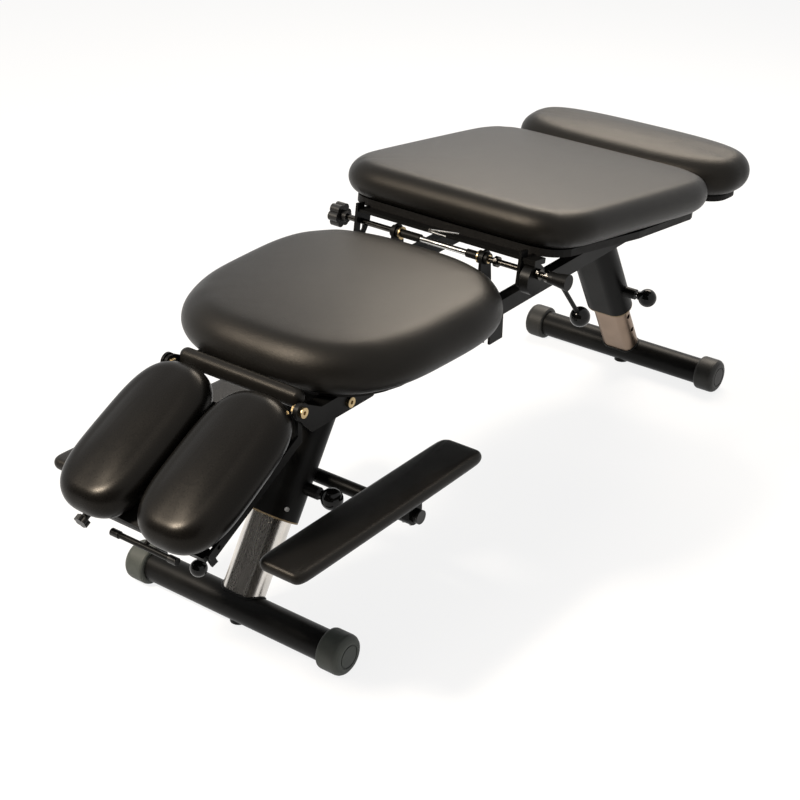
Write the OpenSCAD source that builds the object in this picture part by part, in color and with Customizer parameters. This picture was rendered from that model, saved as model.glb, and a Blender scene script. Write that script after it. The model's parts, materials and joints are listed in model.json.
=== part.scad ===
// Chiropractic table: two telescopic legs, a welded rail frame, a tilting headpiece with a drop,
// a thoracic cushion, a raised pelvic cushion on a drop mechanism and a foot bolster.
// +X runs from the head end to the foot end and +Z is up. The origin is on the floor,
// under the middle of the table. Inside the modules, x = 0 is the axis of the head floor tube.

/* [Floor tubes] */
// Distance between the two floor tubes, centre to centre
floor_spacing = 1386; // [1340:1:1460]
// Outer diameter of a floor tube
floor_tube_d = 60; // [52:1:62]
// Length of a floor tube with its end caps
floor_tube_l = 516; // [440:1:560]
// Wall of the floor tubes
floor_tube_wall = 2.5; // [1.5:0.5:4]
// Largest diameter of a rubber end cap
cap_d = 78; // [76:1:84]
// Length of tube that a cap covers
cap_l = 42; // [34:1:50]

/* [Legs] */
// Lean of the head leg from upright, in degrees
head_lean = 32.5; // [30:0.5:34]
// Lean of the foot leg from upright, in degrees
foot_lean = 29.5; // [27:0.5:31]
// Width of a leg tube across the table
leg_w = 90; // [80:1:92]
// Depth of a leg tube
leg_d = 45; // [40:1:48]
// Wall of the leg tubes
leg_wall = 2.5; // [2:0.5:4]
// Head leg showing between the floor tube centre and its sleeve
head_leg_show = 179; // [165:1:185]
// Foot leg showing between the floor tube centre and its sleeve
foot_leg_show = 168; // [156:1:176]
// Width of a leg sleeve across the table
sleeve_w = 112; // [108:1:116]
// Depth of a leg sleeve
sleeve_d = 68; // [64:1:70]
// Pitch of the height holes
hole_pitch = 48; // [40:1:50]

/* [Rails] */
// Height of the underside of the rails
rail_bottom = 446; // [436:1:456]
// Height of a rail
rail_h = 32; // [28:1:38]
// Width of a rail
rail_w = 25; // [20:1:30]
// Width over both rails
rail_span = 300; // [290:1:306]

/* [Headpiece] */
// Droop of the headpiece below level, in degrees
head_droop = 28.44; // [22:0.2:30]
// Length of a face pad
face_pad_l = 320; // [300:1:330]
// Width of a face pad at its free end
face_pad_tip_w = 178; // [166:1:182]
// Width of a face pad at the pivot
face_pad_root_w = 172; // [164:1:176]
// Thickness of a face pad
face_pad_t = 72.8; // [66:0.2:76]

/* [Thoracic cushion] */
// Length of the thoracic cushion
thoracic_l = 533; // [500:1:540]
// Width of the thoracic cushion at the head end
thoracic_head_w = 508; // [480:1:530]
// Width of the thoracic cushion at the foot end
thoracic_foot_w = 546; // [500:1:560]
// Thickness of the thoracic cushion above its board
thoracic_t = 90.6; // [80:0.2:96]

/* [Pelvic section] */
// Length of the pelvic cushion
pelvic_l = 635.6; // [625:0.2:645]
// Width of the pelvic cushion at the head end
pelvic_head_w = 548; // [520:1:560]
// Width of the pelvic cushion at the foot end
pelvic_foot_w = 576; // [540:1:590]
// Thickness of the pelvic cushion
pelvic_t = 75.6; // [66:0.2:80]
// Rise of the pelvic section towards the head end, in degrees
pelvic_rise = 8.02; // [7.6:0.02:8.2]
// Travel of the drop, at the cross shaft
drop_travel = 13; // [10:0.5:13]

/* [Foot bolster] */
// Length of the foot bolster along the table
bolster_l = 212; // [180:1:230]
// Width of the foot bolster at its head side
bolster_head_w = 586; // [540:1:600]
// Width of the foot bolster at its foot side
bolster_foot_w = 614; // [560:1:620]
// Thickness of the foot bolster
bolster_t = 88.6; // [76:0.2:94]

/* [Armrests] */
// Length of an armrest
arm_l = 520; // [460:1:560]
// Width of an armrest
arm_w = 96; // [84:1:104]
// Thickness of an armrest
arm_t = 25.6; // [24:0.2:34]
// Distance between the middles of the two armrests
arm_spacing = 484; // [480:1:486]
// Turn of the left armrest on its bar, head end up, in degrees
left_arm_turn = 2.6; // [0:0.2:5]

/* [Hidden] */
$fn = 48;

// Overrun that lets a cut pass clean through a wall
over = 1;
// Running clearance of a shaft in its bush, on the radius
run_gap = 0.05;
// Gap between parts that slide or swing past each other
slide_gap = 0.3;

// Points round one ring of a cushion, and rings up its edge
ring_points = 36;
edge_steps = 3;
crown_shares = [0.82, 0.55, 0.25];

// Floor tubes and end caps
cap_flat = 2;
cap_end_t = 6;
cap_round = 12;
cap_back_round = 6;
cap_groove_d = 46;
cap_groove_w = 2.5;
cap_groove_deep = 1.5;
floor_tube_z = cap_d / 2 - cap_flat;
floor_tube_half = floor_tube_l / 2 - cap_end_t;
boss_d = 34;
boss_drop = 3;

// Sleeves, bushes and the ends of the leg tubes inside them
sleeve_wall = 3;
bush_l = 54;
bush_lip = 3;
head_leg_inside = 182;
foot_leg_inside = 166;

// Pull pins, their holes and housings
head_pin_up = 66;
foot_pin_up = 63;
head_holes_below = 1;
head_holes_above = 2;
foot_holes_below = 3;
foot_holes_above = 1;
hole_d = 12;
pin_d = 10;
pin_nose_gap = 0.4;
pin_throw = 6;
pin_flange_d = 16;
pin_flange_t = 3;
pin_ball_d = 42;
pin_ball_gap = 8.5;
pin_ball_neck_d = 20;
pin_ball_neck_l = 1.5;
housing_d = 24;
housing_l = 28;
housing_bore = 17;
housing_nose = 5;
housing_back = 4;
pin_spring_d = 13.4;
pin_spring_wire = 1.6;
pin_spring_turns = 4;

// Rails and crossmembers
rail_wall = 2;
rail_start = 25;
rail_end = 1392;
rail_top = rail_bottom + rail_h;
rail_inner = rail_span / 2 - rail_w;
cross_w = 90;
cross_wall = 3;
mid_cross_w = 46;

// Headpiece pivot, gusset plates and their bolts
pivot_at = 2;
pivot_up = 10;
gusset_t = 5;
gusset_eye_r = 16;
gusset_top = 50;
gusset_toe = 26;
gusset_l = 213;
gusset_drop = 6;
gusset_corner = 20;
bolt_d = 10;
bolt_head_d = 19;
bolt_head_t = 5;
bolt_socket_d = 8;
bolt_socket_deep = 3;
bolt_nut_d = 17;
bolt_nut_t = 7;
rail_bolt_at = 129;
rail_bolt_up = 10;

// Face pads, measured from the pivot with the headpiece level
face_mid_up = 8.8;
face_gap = 4;
face_bow = 0;
face_power = 3.4;
face_crown = 3;
face_r = face_pad_t / 2;
face_under = face_mid_up - face_r;

// Face board and its hinge
face_board_t = 10;
face_board_w = 276;
face_board_in = 27;
face_slot_w = 20;
face_slot_l = 180;
face_slot_at = 70;
face_hinge_at = 39;
face_hinge_down = 5.4;
face_pin_d = 6;
face_eye_d = 9;
face_eye_in = 48;
face_eye_y = rail_span / 2 - face_eye_in;
face_eye_l = 9.4;
face_ear_t = 5;
face_board_low = face_under - face_board_t;

// Headpiece base: two side arms and two cross bars
base_arm_t = 6;
base_arm_h = 18;
base_arm_in = 35;
base_arm_l = face_pad_l - base_arm_in;
base_eye_r = 13;
base_neck = 26;
base_heel = 24;
base_bar_w = 18;
base_front_in = 28;
base_front_l = face_pad_l - base_front_in;
base_front_h = 12;
base_rear_l = 48;
base_rear_h = 7.5;
base_low = face_board_low - base_arm_h;
base_front_top = face_board_low - slide_gap;
tab_in = 19;
tab_y = rail_span / 2 - tab_in;
tab_w = 14;
tab_t = 4;
tab_drop = 42;
tab_slant = 12;

// Release handle under the tip of the headpiece
handle_y = -15;
handle_l = 150;
handle_d = 11;
handle_tip_d = 14;
handle_tip_l = 18;
handle_stem_d = 9;
handle_out = 16;
handle_hub_in = 9;
handle_at = base_front_l + handle_out;
handle_hub_at = base_front_l - handle_hub_in;
handle_hub_down = 8;
handle_hub_d = 14;
handle_hub_l = 20;
handle_lug_t = 5;

// Drop lever and tension knob under the tip of the headpiece
face_lever_back = 32;
face_lever_in = 40;
face_lever_at = base_front_l - face_lever_back;
face_lever_y = face_lever_in - rail_span / 2;
face_lever_t = 8;
face_lever_d = 7;
face_lever_l = 52.8;
face_lever_rest = 37;
face_lever_hub_d = 13;
face_ball_d = 30;
face_cam_r = 12;
face_cam_lift = 5;
face_cam_t = 9;
face_lug_in = 20;
face_lug_y = face_lever_y + face_lug_in;
face_lug_t = 4;
face_stud_in = 35;
face_stud_y = rail_span / 2 - face_stud_in;
face_stud_d = 7;
face_stud_out = 26;
face_knob_d = 27;
face_knob_t = 11;
face_knob_hub_d = 14;
face_knob_hub_l = 9;

// Thoracic cushion and board
thoracic_start = 31.8;
thoracic_edge = 50;
thoracic_bow = -5;
thoracic_power = 3.15;
thoracic_crown = 6;
thoracic_board_t = 12;
thoracic_board_in = 36;

// Neck roll on the head ends of the rails
roll_start = 10;
roll_l = 28;
roll_w = 276;
roll_t = 36;
roll_edge = 12.5;
roll_power = 8;
roll_crown = 1;

// Pelvic cushion, board and hinge, measured from the hinge with the section level
hinge_at = 1160;
hinge_up = 13;
pelvic_far = 66.7;
pelvic_bow = 12;
pelvic_power = 8.7;
pelvic_crown = 6;
pelvic_board_t = 15;
pelvic_board_in = 24;
pelvic_under = 12.5;
hinge_pin_d = 8;
hinge_barrel_d = 16;
hinge_y = 60;
hinge_knuckle_l = 30;
hinge_ear_t = 8;
hinge_foot_w = 40;
hinge_foot_t = 3;
hinge_leaf_t = 4;
hinge_leaf_l = 60;
hinge_leaf_w = 44;
pelvic_r = pelvic_t / 2;
pelvic_cushion_up = pelvic_under + pelvic_board_t;

// Foot bolster, its board and risers
bolster_gap = 4;
bolster_bow = -20;
bolster_power = 2.66;
bolster_crown = 4;
bolster_board_t = 12;
bolster_board_in = 30;
bolster_riser_h = 13;
bolster_riser_in = 34;

// Cross shaft in its bearings on the mid crossmember
shaft_at = 608;
shaft_up = 75;
shaft_d = 12;
shaft_left = 258;
shaft_right = 288;
shaft_z = rail_top + shaft_up;
bearing_in = 20;
bearing_y = rail_inner - bearing_in;
bearing_t = 6;
bearing_r = 16;
bearing_foot_t = 4;
bearing_foot_l = 19;
bearing_hub_d = 24;
bearing_hub_l = 20;
shaft_bush_d = 17;
shaft_bush_lip_d = 26;
shaft_bush_lip_t = 3;
spacer_d = 17;
spacer_left_end = 47;
spacer_right_end = 64;
collar_d = 21;
collar_l = 8;
collar_ys = [-133, -228, -248];

// Front frame of the pelvic section, with the slotted cheeks that ride on the shaft
front_reach = 16.74;
front_bar_w = 37;
front_bar_t = 6;
front_right = 226;
cheek_y = 191;
cheek_t = 6;
cheek_top = 11.5;
cheek_bottom = 48;
cheek_nose = 4;
cheek_ear_w = 22;
cheek_corner = 15;
cheek_play = 0.8;
strap_y = 120;
strap_w = 24;
strap_l = 142;
cross_tube_d = 28;
cross_tube_wall = 2;
cross_tube_half = 140;
cross_tube_in = 113.5;
cross_tube_sunk = 1;
cam_r = 30;
cam_t = 20;
cam_y = -202;
follower_w = 25;
hairpin_d = 3;
hairpin_bend_y = 15;
hairpin_bend_up = -0.4;
hairpin_low_y = -23;
hairpin_low_up = -3;
hairpin_high_y = -52;
hairpin_high_up = 9.8;
hairpin_eye_d = 9;
hairpin_eye_off = 2;

// Cocking lever on the right end of the shaft, star knob on the left end
lever_y = -271;
lever_l = 139.5;
lever_d = 9;
lever_rest = 39.9;
lever_hub_d = 24;
lever_hub_end_d = 32;
lever_hub_y = -252;
lever_hub_step = 10;
lever_hub_end_y = -293;
lever_ball_d = 40;
knob_y = 240;
knob_t = 22;
knob_d = 50;
knob_lobes = 6;
knob_lobe_share = 0.2;
knob_core_share = 0.6;
knob_boss_d = 22;
knob_boss_l = 12;

// Stop plate below the right rail
stop_at = 577;
stop_w = 44;
stop_h = 54;
stop_t = 5;
stop_y = -rail_span / 2 + stop_t;

// Armrest bar behind the head sleeve, and the armrests that turn on it
bar_at = 187;
bar_z = 239;
bar_d = 27;
bar_wall = 2.5;
bar_half = 272;
plug_t = 4;
plug_in = 14;
bar_bracket_w = 60;
bar_bracket_h = 22;
arm_start = -165;
arm_under = 280;
arm_edge = 9.6;
arm_low_edge = 4;
arm_power = 13.8;
arm_crown = 2;
clamp_w = 34;
clamp_wall = 6;
clamp_plate_l = 80;
clamp_plate_t = 5;

// Where the cushions end, and the shift that puts the origin under the middle
face_tip_x = pivot_at - (face_pad_l - face_r) * cos(head_droop)
    - face_mid_up * sin(head_droop) - face_r;
pelvic_end_x = hinge_at + (pelvic_far - pelvic_r) * cos(pelvic_rise)
    + (pelvic_cushion_up + pelvic_r) * sin(pelvic_rise) + pelvic_r;
bolster_start = pelvic_end_x + bolster_gap;
mid_x = (face_tip_x + bolster_start + bolster_l) / 2;

// Where the leg axes meet the underside of the rails
leg_rise = rail_bottom - floor_tube_z;
head_cross_at = leg_rise * tan(head_lean);
foot_cross_at = floor_spacing - leg_rise * tan(foot_lean);

// The cross shaft seen from the pelvic hinge, with the section level
shaft_dx = shaft_at - hinge_at;
shaft_dz = shaft_up - hinge_up;
shaft_local_x = shaft_dx * cos(pelvic_rise) - shaft_dz * sin(pelvic_rise);
shaft_local_z = shaft_dx * sin(pelvic_rise) + shaft_dz * cos(pelvic_rise);
cam_centre_x = shaft_dx * cos(pelvic_rise) - (shaft_dz - drop_travel) * sin(pelvic_rise);
cam_centre_z = shaft_dx * sin(pelvic_rise) + (shaft_dz - drop_travel) * cos(pelvic_rise);
follower_low = cam_centre_z + cam_r + slide_gap;
front_frame_l = front_reach - shaft_local_x;
cross_tube_at = front_frame_l - cross_tube_in;
front_bar_low = pelvic_under - front_bar_t;

// Frames in which the pieces are drawn

module at_table() {
    translate([-mid_x, 0, 0]) children();
}

// +Z up along the head leg
module along_head_leg() {
    at_table() translate([0, 0, floor_tube_z]) rotate([0, head_lean, 0]) children();
}

// +Z up along the foot leg
module along_foot_leg() {
    at_table() translate([floor_spacing, 0, floor_tube_z]) rotate([0, -foot_lean, 0]) children();
}

// The headpiece, level, with its tip towards -X
module at_pivot() {
    at_table() translate([pivot_at, 0, rail_top + pivot_up]) rotate([0, -head_droop, 0]) children();
}

// The pelvic section, level, with its head end towards -X
module at_hinge() {
    at_table() translate([hinge_at, 0, rail_top + hinge_up]) rotate([0, pelvic_rise, 0]) children();
}

module at_shaft() {
    at_table() translate([shaft_at, 0, shaft_z]) children();
}

module at_bar() {
    at_table() translate([bar_at, 0, bar_z]) children();
}

// Shapes used by many pieces

// Box given by its low and high corners
module block(low, high) {
    translate(low) cube(high - low);
}

// Round bar along Y from y0 to y1
module rod_y(d, y0, y1) {
    translate([0, y1, 0]) rotate([90, 0, 0]) cylinder(d = d, h = y1 - y0);
}

// Flat outline in X and Z, made thick along Y from y0 to y1
module plate_y(y0, y1) {
    translate([0, y1, 0]) rotate([90, 0, 0]) linear_extrude(y1 - y0) children();
}

// Round wire between two points
module wire(p, q, d) {
    v = q - p;
    translate(p) rotate([0, acos(v[2] / norm(v)), atan2(v[1], v[0])]) cylinder(d = d, h = norm(v));
}

// Flat oval with full round ends, long across the table
module oval(width, depth) {
    square([depth, width - depth], center = true);
    for (side = [-1, 1]) translate([0, side * (width - depth) / 2]) circle(d = depth);
}

// Star grip: a disc with round lobes
module star(d, lobes) {
    lobe_d = d * knob_lobe_share * 2;
    circle(d = d - lobe_d * knob_core_share);
    for (i = [0 : lobes - 1]) rotate(i * 360 / lobes) translate([(d - lobe_d) / 2, 0]) circle(d = lobe_d);
}

// Rounded outline whose points face evenly round the compass
// half: half length and half widths at the low and high ends; out: distance outside that curve
function ring(half, bow, power, out) = [
    for (i = [0 : ring_points - 1])
    let (
        face = 360 * i / ring_points,
        acute = face % 180 > 90 ? 180 - face % 180 : face % 180,
        t = acute == 90 ? 90 : atan(pow(tan(acute) * half[1] / half[0], power / (2 * power - 2))),
        x = sign(cos(face)) * pow(cos(t), 2 / power),
        u = (x + 1) / 2,
        w = half[1] + (half[2] - half[1]) * u + 4 * bow * u * (1 - u)
    )
    [x * half[0] + out * cos(face), sign(sin(face)) * pow(sin(t), 2 / power) * w + out * sin(face)]
];

function lifted(points, z) = [for (p = points) [p[0], p[1], z]];

// Faces between stacked rings, closed by a fan below and a fan above
function stack_faces(rings, count) = concat(
    [for (r = [0 : rings - 2], i = [0 : count - 1], upper = [false, true])
        let (a = r * count + i, b = r * count + (i + 1) % count)
        upper ? [b, a + count, b + count] : [a, a + count, b]],
    [for (i = [0 : count - 1]) [rings * count, i, (i + 1) % count]],
    [for (i = [0 : count - 1])
        [rings * count + 1, (rings - 1) * count + (i + 1) % count, (rings - 1) * count + i]]
);

// Padded form, flat below at z = 0, bulging on a round edge and crowned on top
module cushion(l, w0, w1, bow, power, edge, low_edge, t, crown) {
    half = [l / 2 - edge, w0 / 2 - edge, w1 / 2 - edge];
    low_z = min(low_edge, t - edge);
    low_turn = asin(min(1, low_z / low_edge));
    under = [for (k = [edge_steps : -1 : 1]) let (a = -low_turn * k / edge_steps)
        lifted(ring(half, bow, power, edge - low_edge + low_edge * cos(a)), low_z + low_edge * sin(a))];
    straight = t - edge > low_z ? [lifted(ring(half, bow, power, edge), low_z)] : [];
    over_edge = [for (k = [0 : edge_steps]) let (a = 90 * k / edge_steps)
        lifted(ring(half, bow, power, edge * cos(a)), t - edge + edge * sin(a))];
    tops = [for (s = crown_shares) lifted(ring(half * s, bow * s, power, 0), t + crown * (1 - s * s))];
    rings = concat(under, straight, over_edge, tops);
    points = concat([for (r = rings) each r], [[0, 0, 0], [0, 0, t + crown]]);
    polyhedron(points = points, faces = stack_faces(len(rings), ring_points), convexity = 4);
}

// Board under a cushion, set in from the cushion's outline
module board(l, w0, w1, bow, power, inset, t) {
    half = [l / 2 - inset, w0 / 2 - inset, w1 / 2 - inset];
    linear_extrude(t) polygon(ring(half, bow, power, 0));
}

// Compression spring along +Z, one unbroken tube
module coil(mean_d, wire_d, length, turns) {
    steps = 8 * turns;
    sides = 6;
    rise = length - wire_d;
    points = [for (i = [0 : steps], j = [0 : sides - 1])
        let (turn = 360 * i / 8, a = 360 * j / sides, r = mean_d / 2 + wire_d / 2 * cos(a))
        [r * cos(turn), r * sin(turn), wire_d / 2 + rise * i / steps + wire_d / 2 * sin(a)]];
    skin = [for (i = [0 : steps - 1], j = [0 : sides - 1], upper = [false, true])
        let (a = i * sides + j, b = i * sides + (j + 1) % sides)
        upper ? [b, b + sides, a + sides] : [a, b, a + sides]];
    caps = [[for (j = [sides - 1 : -1 : 0]) j], [for (j = [0 : sides - 1]) steps * sides + j]];
    polyhedron(points = points, faces = concat(skin, caps), convexity = 8);
}

// Frame: rails and crossmembers

module rail(side) {
    at_table() translate([rail_start, side * (rail_span - rail_w) / 2 - rail_w / 2, rail_bottom])
    difference() {
        cube([rail_end - rail_start, rail_w, rail_h]);
        translate([-over, rail_wall, rail_wall])
            cube([rail_end - rail_start + 2 * over, rail_w - 2 * rail_wall, rail_h - 2 * rail_wall]);
        translate([rail_bolt_at - rail_start, 0, rail_bolt_up])
            rod_y(bolt_d, side > 0 ? rail_w / 2 : -over, side > 0 ? rail_w + over : rail_w / 2);
    }
}

module left_rail() {
    color("dimgray") rail(1);
}

module right_rail() {
    color("dimgray") rail(-1);
}

module crossmember(at, w) {
    at_table() difference() {
        block([at - w / 2, -rail_inner, rail_bottom], [at + w / 2, rail_inner, rail_top]);
        block([at - w / 2 + cross_wall, -rail_inner - over, rail_bottom + cross_wall],
            [at + w / 2 - cross_wall, rail_inner + over, rail_top - cross_wall]);
    }
}

module head_crossmember() {
    color("dimgray") crossmember(head_cross_at, cross_w);
}

module mid_crossmember() {
    color("dimgray") crossmember(shaft_at, mid_cross_w);
}

module foot_crossmember() {
    color("dimgray") crossmember(foot_cross_at, cross_w);
}

// Frame: leg sleeves, cut level under the crossmembers

module sleeve_outer(mouth, lean) {
    translate([0, 0, mouth]) linear_extrude(leg_rise / cos(lean) + sleeve_d - mouth)
        oval(sleeve_w, sleeve_d);
}

module sleeve(mouth, lean, pin_up) {
    difference() {
        sleeve_outer(mouth, lean);
        translate([0, 0, mouth - over]) linear_extrude(leg_rise / cos(lean) + sleeve_d)
            oval(sleeve_w - 2 * sleeve_wall, sleeve_d - 2 * sleeve_wall);
        translate([0, 0, mouth + pin_up])
            rod_y(pin_d + 2 * run_gap, -sleeve_w / 2 - over, -leg_w / 2);
    }
}

module above_rail_bottom() {
    at_table() translate([0, -rail_span / 2, rail_bottom]) cube([floor_spacing, rail_span, rail_span]);
}

module head_sleeve() {
    color("dimgray") difference() {
        along_head_leg() sleeve(head_leg_show, head_lean, head_pin_up);
        above_rail_bottom();
    }
}

module foot_sleeve() {
    color("dimgray") difference() {
        along_foot_leg() sleeve(foot_leg_show, foot_lean, foot_pin_up);
        above_rail_bottom();
    }
}

module sleeve_bush(mouth) {
    bore_w = leg_w + 2 * slide_gap;
    bore_d = leg_d + 2 * slide_gap;
    difference() {
        union() {
            translate([0, 0, mouth - bush_lip]) linear_extrude(bush_lip) oval(sleeve_w, sleeve_d);
            translate([0, 0, mouth - bush_lip]) linear_extrude(bush_lip + bush_l)
                oval(sleeve_w - 2 * sleeve_wall, sleeve_d - 2 * sleeve_wall);
        }
        translate([0, 0, mouth - bush_lip - over]) linear_extrude(bush_lip + bush_l + 2 * over)
            oval(bore_w, bore_d);
    }
}

module sleeve_bushes() {
    color("wheat") {
        along_head_leg() sleeve_bush(head_leg_show);
        along_foot_leg() sleeve_bush(foot_leg_show);
    }
}

// Frame: gusset plates that carry the headpiece pivot

module gusset_outline() {
    pivot_z = rail_top + pivot_up;
    low = rail_bottom - gusset_drop;
    translate([pivot_at, pivot_z]) circle(r = gusset_eye_r);
    polygon([
        [pivot_at, pivot_z + gusset_eye_r],
        [pivot_at + gusset_top, rail_top],
        [pivot_at + gusset_l, rail_top],
        [pivot_at + gusset_l, rail_bottom + gusset_drop],
        [pivot_at + gusset_l - gusset_corner, low],
        [pivot_at + gusset_toe, low],
        [pivot_at - gusset_eye_r * cos(20), pivot_z - gusset_eye_r * sin(20)]
    ]);
}

module gusset_plates() {
    color("dimgray") at_table() for (side = [-1, 1]) difference() {
        plate_y(side * (rail_span + gusset_t) / 2 - gusset_t / 2,
            side * (rail_span + gusset_t) / 2 + gusset_t / 2) gusset_outline();
        for (place = [[pivot_at, rail_top + pivot_up], [rail_bolt_at, rail_bottom + rail_bolt_up]])
            translate([place[0], 0, place[1]]) rod_y(bolt_d, -rail_span, rail_span);
    }
}

// Socket screw with its head outside the gusset plate and its shank running inwards
module gusset_bolt(shank_l, nut) {
    rod_y(bolt_d, -shank_l, gusset_t);
    difference() {
        translate([0, gusset_t, 0]) rod_y(bolt_head_d, 0, bolt_head_t);
        translate([0, gusset_t + bolt_head_t + over, 0]) rotate([90, 0, 0])
            cylinder(d = bolt_socket_d, h = bolt_socket_deep + over, $fn = 6);
    }
    if (nut) translate([0, -base_arm_t - 3 * slide_gap, 0]) rotate([90, 0, 0])
        cylinder(d = bolt_nut_d, h = bolt_nut_t, $fn = 6);
}

module gusset_bolts() {
    color("goldenrod") at_table() for (side = [0, 1]) mirror([0, side, 0])
    translate([0, rail_span / 2, 0]) {
        translate([pivot_at, 0, rail_top + pivot_up])
            gusset_bolt(base_arm_t + 3 * slide_gap + bolt_nut_t, true);
        translate([rail_bolt_at, 0, rail_bottom + rail_bolt_up]) gusset_bolt(rail_w / 2, false);
    }
}

// Frame: fixed cushions and their boards

module neck_roll() {
    color("black") at_table() translate([roll_start + roll_l / 2, 0, rail_top])
        cushion(roll_l, roll_w, roll_w, 0, roll_power, roll_edge, roll_edge, roll_t, roll_crown);
}

module at_thoracic() {
    at_table() translate([thoracic_start + thoracic_l / 2, 0, rail_top]) children();
}

module thoracic_board() {
    color("saddlebrown") at_thoracic() board(thoracic_l, thoracic_head_w, thoracic_foot_w,
        thoracic_bow, thoracic_power, thoracic_board_in, thoracic_board_t);
}

module thoracic_cushion() {
    color("black") at_thoracic() translate([0, 0, thoracic_board_t])
        cushion(thoracic_l, thoracic_head_w, thoracic_foot_w, thoracic_bow, thoracic_power,
            thoracic_edge, thoracic_edge, thoracic_t, thoracic_crown);
}

module at_bolster() {
    at_table() translate([bolster_start + bolster_l / 2, 0, rail_top + bolster_riser_h]) children();
}

module bolster_risers() {
    color("dimgray") at_table() for (side = [-1, 1])
        block([bolster_start + bolster_riser_in, side * (rail_span - rail_w) / 2 - rail_w / 2, rail_top],
            [rail_end, side * (rail_span - rail_w) / 2 + rail_w / 2, rail_top + bolster_riser_h]);
}

module bolster_board() {
    color("saddlebrown") at_bolster() board(bolster_l, bolster_head_w, bolster_foot_w,
        bolster_bow, bolster_power, bolster_board_in, bolster_board_t);
}

module foot_bolster() {
    color("black") at_bolster() translate([0, 0, bolster_board_t])
        cushion(bolster_l, bolster_head_w, bolster_foot_w, bolster_bow, bolster_power,
            bolster_t / 2, bolster_t / 2, bolster_t, bolster_crown);
}

// Frame: bearings of the cross shaft

module bearing_bracket() {
    difference() {
        union() {
            translate([0, bearing_y, 0]) plate_y(-bearing_t / 2, bearing_t / 2) {
                circle(r = bearing_r);
                polygon([[-mid_cross_w / 2, -shaft_up], [mid_cross_w / 2, -shaft_up],
                    [bearing_r, 0], [-bearing_r, 0]]);
            }
            block([-mid_cross_w / 2, bearing_y, -shaft_up],
                [mid_cross_w / 2, bearing_y + bearing_foot_l, -shaft_up + bearing_foot_t]);
            rod_y(bearing_hub_d, bearing_y - bearing_hub_l / 2, bearing_y + bearing_hub_l / 2);
        }
        rod_y(shaft_bush_d, 0, rail_span);
    }
}

module bearing_brackets() {
    color("dimgray") at_shaft() for (side = [0, 1]) mirror([0, side, 0]) bearing_bracket();
}

module shaft_bushes() {
    inner = bearing_y - bearing_hub_l / 2;
    color("goldenrod") at_shaft() for (side = [0, 1]) mirror([0, side, 0]) difference() {
        union() {
            rod_y(shaft_bush_d, inner - shaft_bush_lip_t, inner + bearing_hub_l);
            rod_y(shaft_bush_lip_d, inner - shaft_bush_lip_t, inner);
        }
        rod_y(shaft_d + 2 * run_gap, 0, rail_span);
    }
}

module stop_plate() {
    color("dimgray") at_table() block([stop_at, stop_y, rail_bottom - stop_h],
        [stop_at + stop_w, stop_y + stop_t, rail_bottom]);
}

// Frame: pull pin housings, saddled on the sleeves

module pin_housing(mouth, lean, pin_up) {
    back = -sleeve_w / 2 - housing_l;
    difference() {
        translate([0, 0, mouth + pin_up]) difference() {
            rod_y(housing_d, back, -(sleeve_w - sleeve_d / 2) / 2);
            rod_y(housing_bore, back + housing_back, -sleeve_w / 2 - housing_nose);
            rod_y(pin_d + 2 * run_gap, back - over, 0);
        }
        sleeve_outer(mouth, lean);
    }
}

module pin_housings() {
    color("black") {
        along_head_leg() pin_housing(head_leg_show, head_lean, head_pin_up);
        along_foot_leg() pin_housing(foot_leg_show, foot_lean, foot_pin_up);
    }
}

module pin_spring(up) {
    front = sleeve_w / 2 + housing_nose + pin_throw + pin_flange_t + slide_gap;
    back = sleeve_w / 2 + housing_l - housing_back - slide_gap / 2;
    translate([0, -front, up]) rotate([90, 0, 0])
        coil(pin_spring_d, pin_spring_wire, back - front, pin_spring_turns);
}

module pin_springs() {
    color("silver") {
        along_head_leg() pin_spring(head_leg_show + head_pin_up);
        along_foot_leg() pin_spring(foot_leg_show + foot_pin_up);
    }
}

// Frame: armrest bar

module armrest_bar() {
    tube_half = bar_half - plug_t;
    color("dimgray") at_bar() difference() {
        rod_y(bar_d, -tube_half, tube_half);
        rod_y(bar_d - 2 * bar_wall, -tube_half - over, tube_half + over);
    }
}

module armrest_bar_bracket() {
    up = bar_at * sin(head_lean) + (bar_z - floor_tube_z) * cos(head_lean);
    out = bar_at * cos(head_lean) - (bar_z - floor_tube_z) * sin(head_lean);
    color("dimgray") difference() {
        along_head_leg() difference() {
            block([0, -bar_bracket_w / 2, up - bar_bracket_h / 2],
                [out, bar_bracket_w / 2, up + bar_bracket_h / 2]);
            sleeve_outer(head_leg_show, head_lean);
        }
        at_bar() rod_y(bar_d, -bar_bracket_w, bar_bracket_w);
    }
}

module armrest_bar_plugs() {
    color("black") at_bar() for (side = [0, 1]) mirror([0, side, 0]) {
        rod_y(bar_d, bar_half - plug_t, bar_half);
        rod_y(bar_d - 2 * bar_wall, bar_half - plug_t - plug_in, bar_half - plug_t);
    }
}

// Frame: hinge of the pelvic section

module hinge_brackets() {
    ear = hinge_knuckle_l / 2 + slide_gap;
    color("dimgray") at_table() translate([hinge_at, 0, rail_top])
    for (side = [-1, 1]) translate([0, side * hinge_y, 0]) {
        difference() {
            for (y = [-ear - hinge_ear_t, ear]) {
                translate([0, 0, hinge_up]) rod_y(hinge_barrel_d, y, y + hinge_ear_t);
                block([-hinge_barrel_d / 2, y, 0], [hinge_barrel_d / 2, y + hinge_ear_t, hinge_up]);
            }
            translate([0, 0, hinge_up]) rod_y(hinge_pin_d, -rail_span, rail_span);
        }
        block([-hinge_foot_w / 2, -ear - hinge_ear_t, 0], [hinge_foot_w / 2, ear + hinge_ear_t, hinge_foot_t]);
    }
}

module hinge_pin() {
    half = hinge_y + hinge_knuckle_l / 2 + slide_gap + hinge_ear_t;
    color("silver") at_hinge() rod_y(hinge_pin_d, -half, half);
}

// Legs

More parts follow.
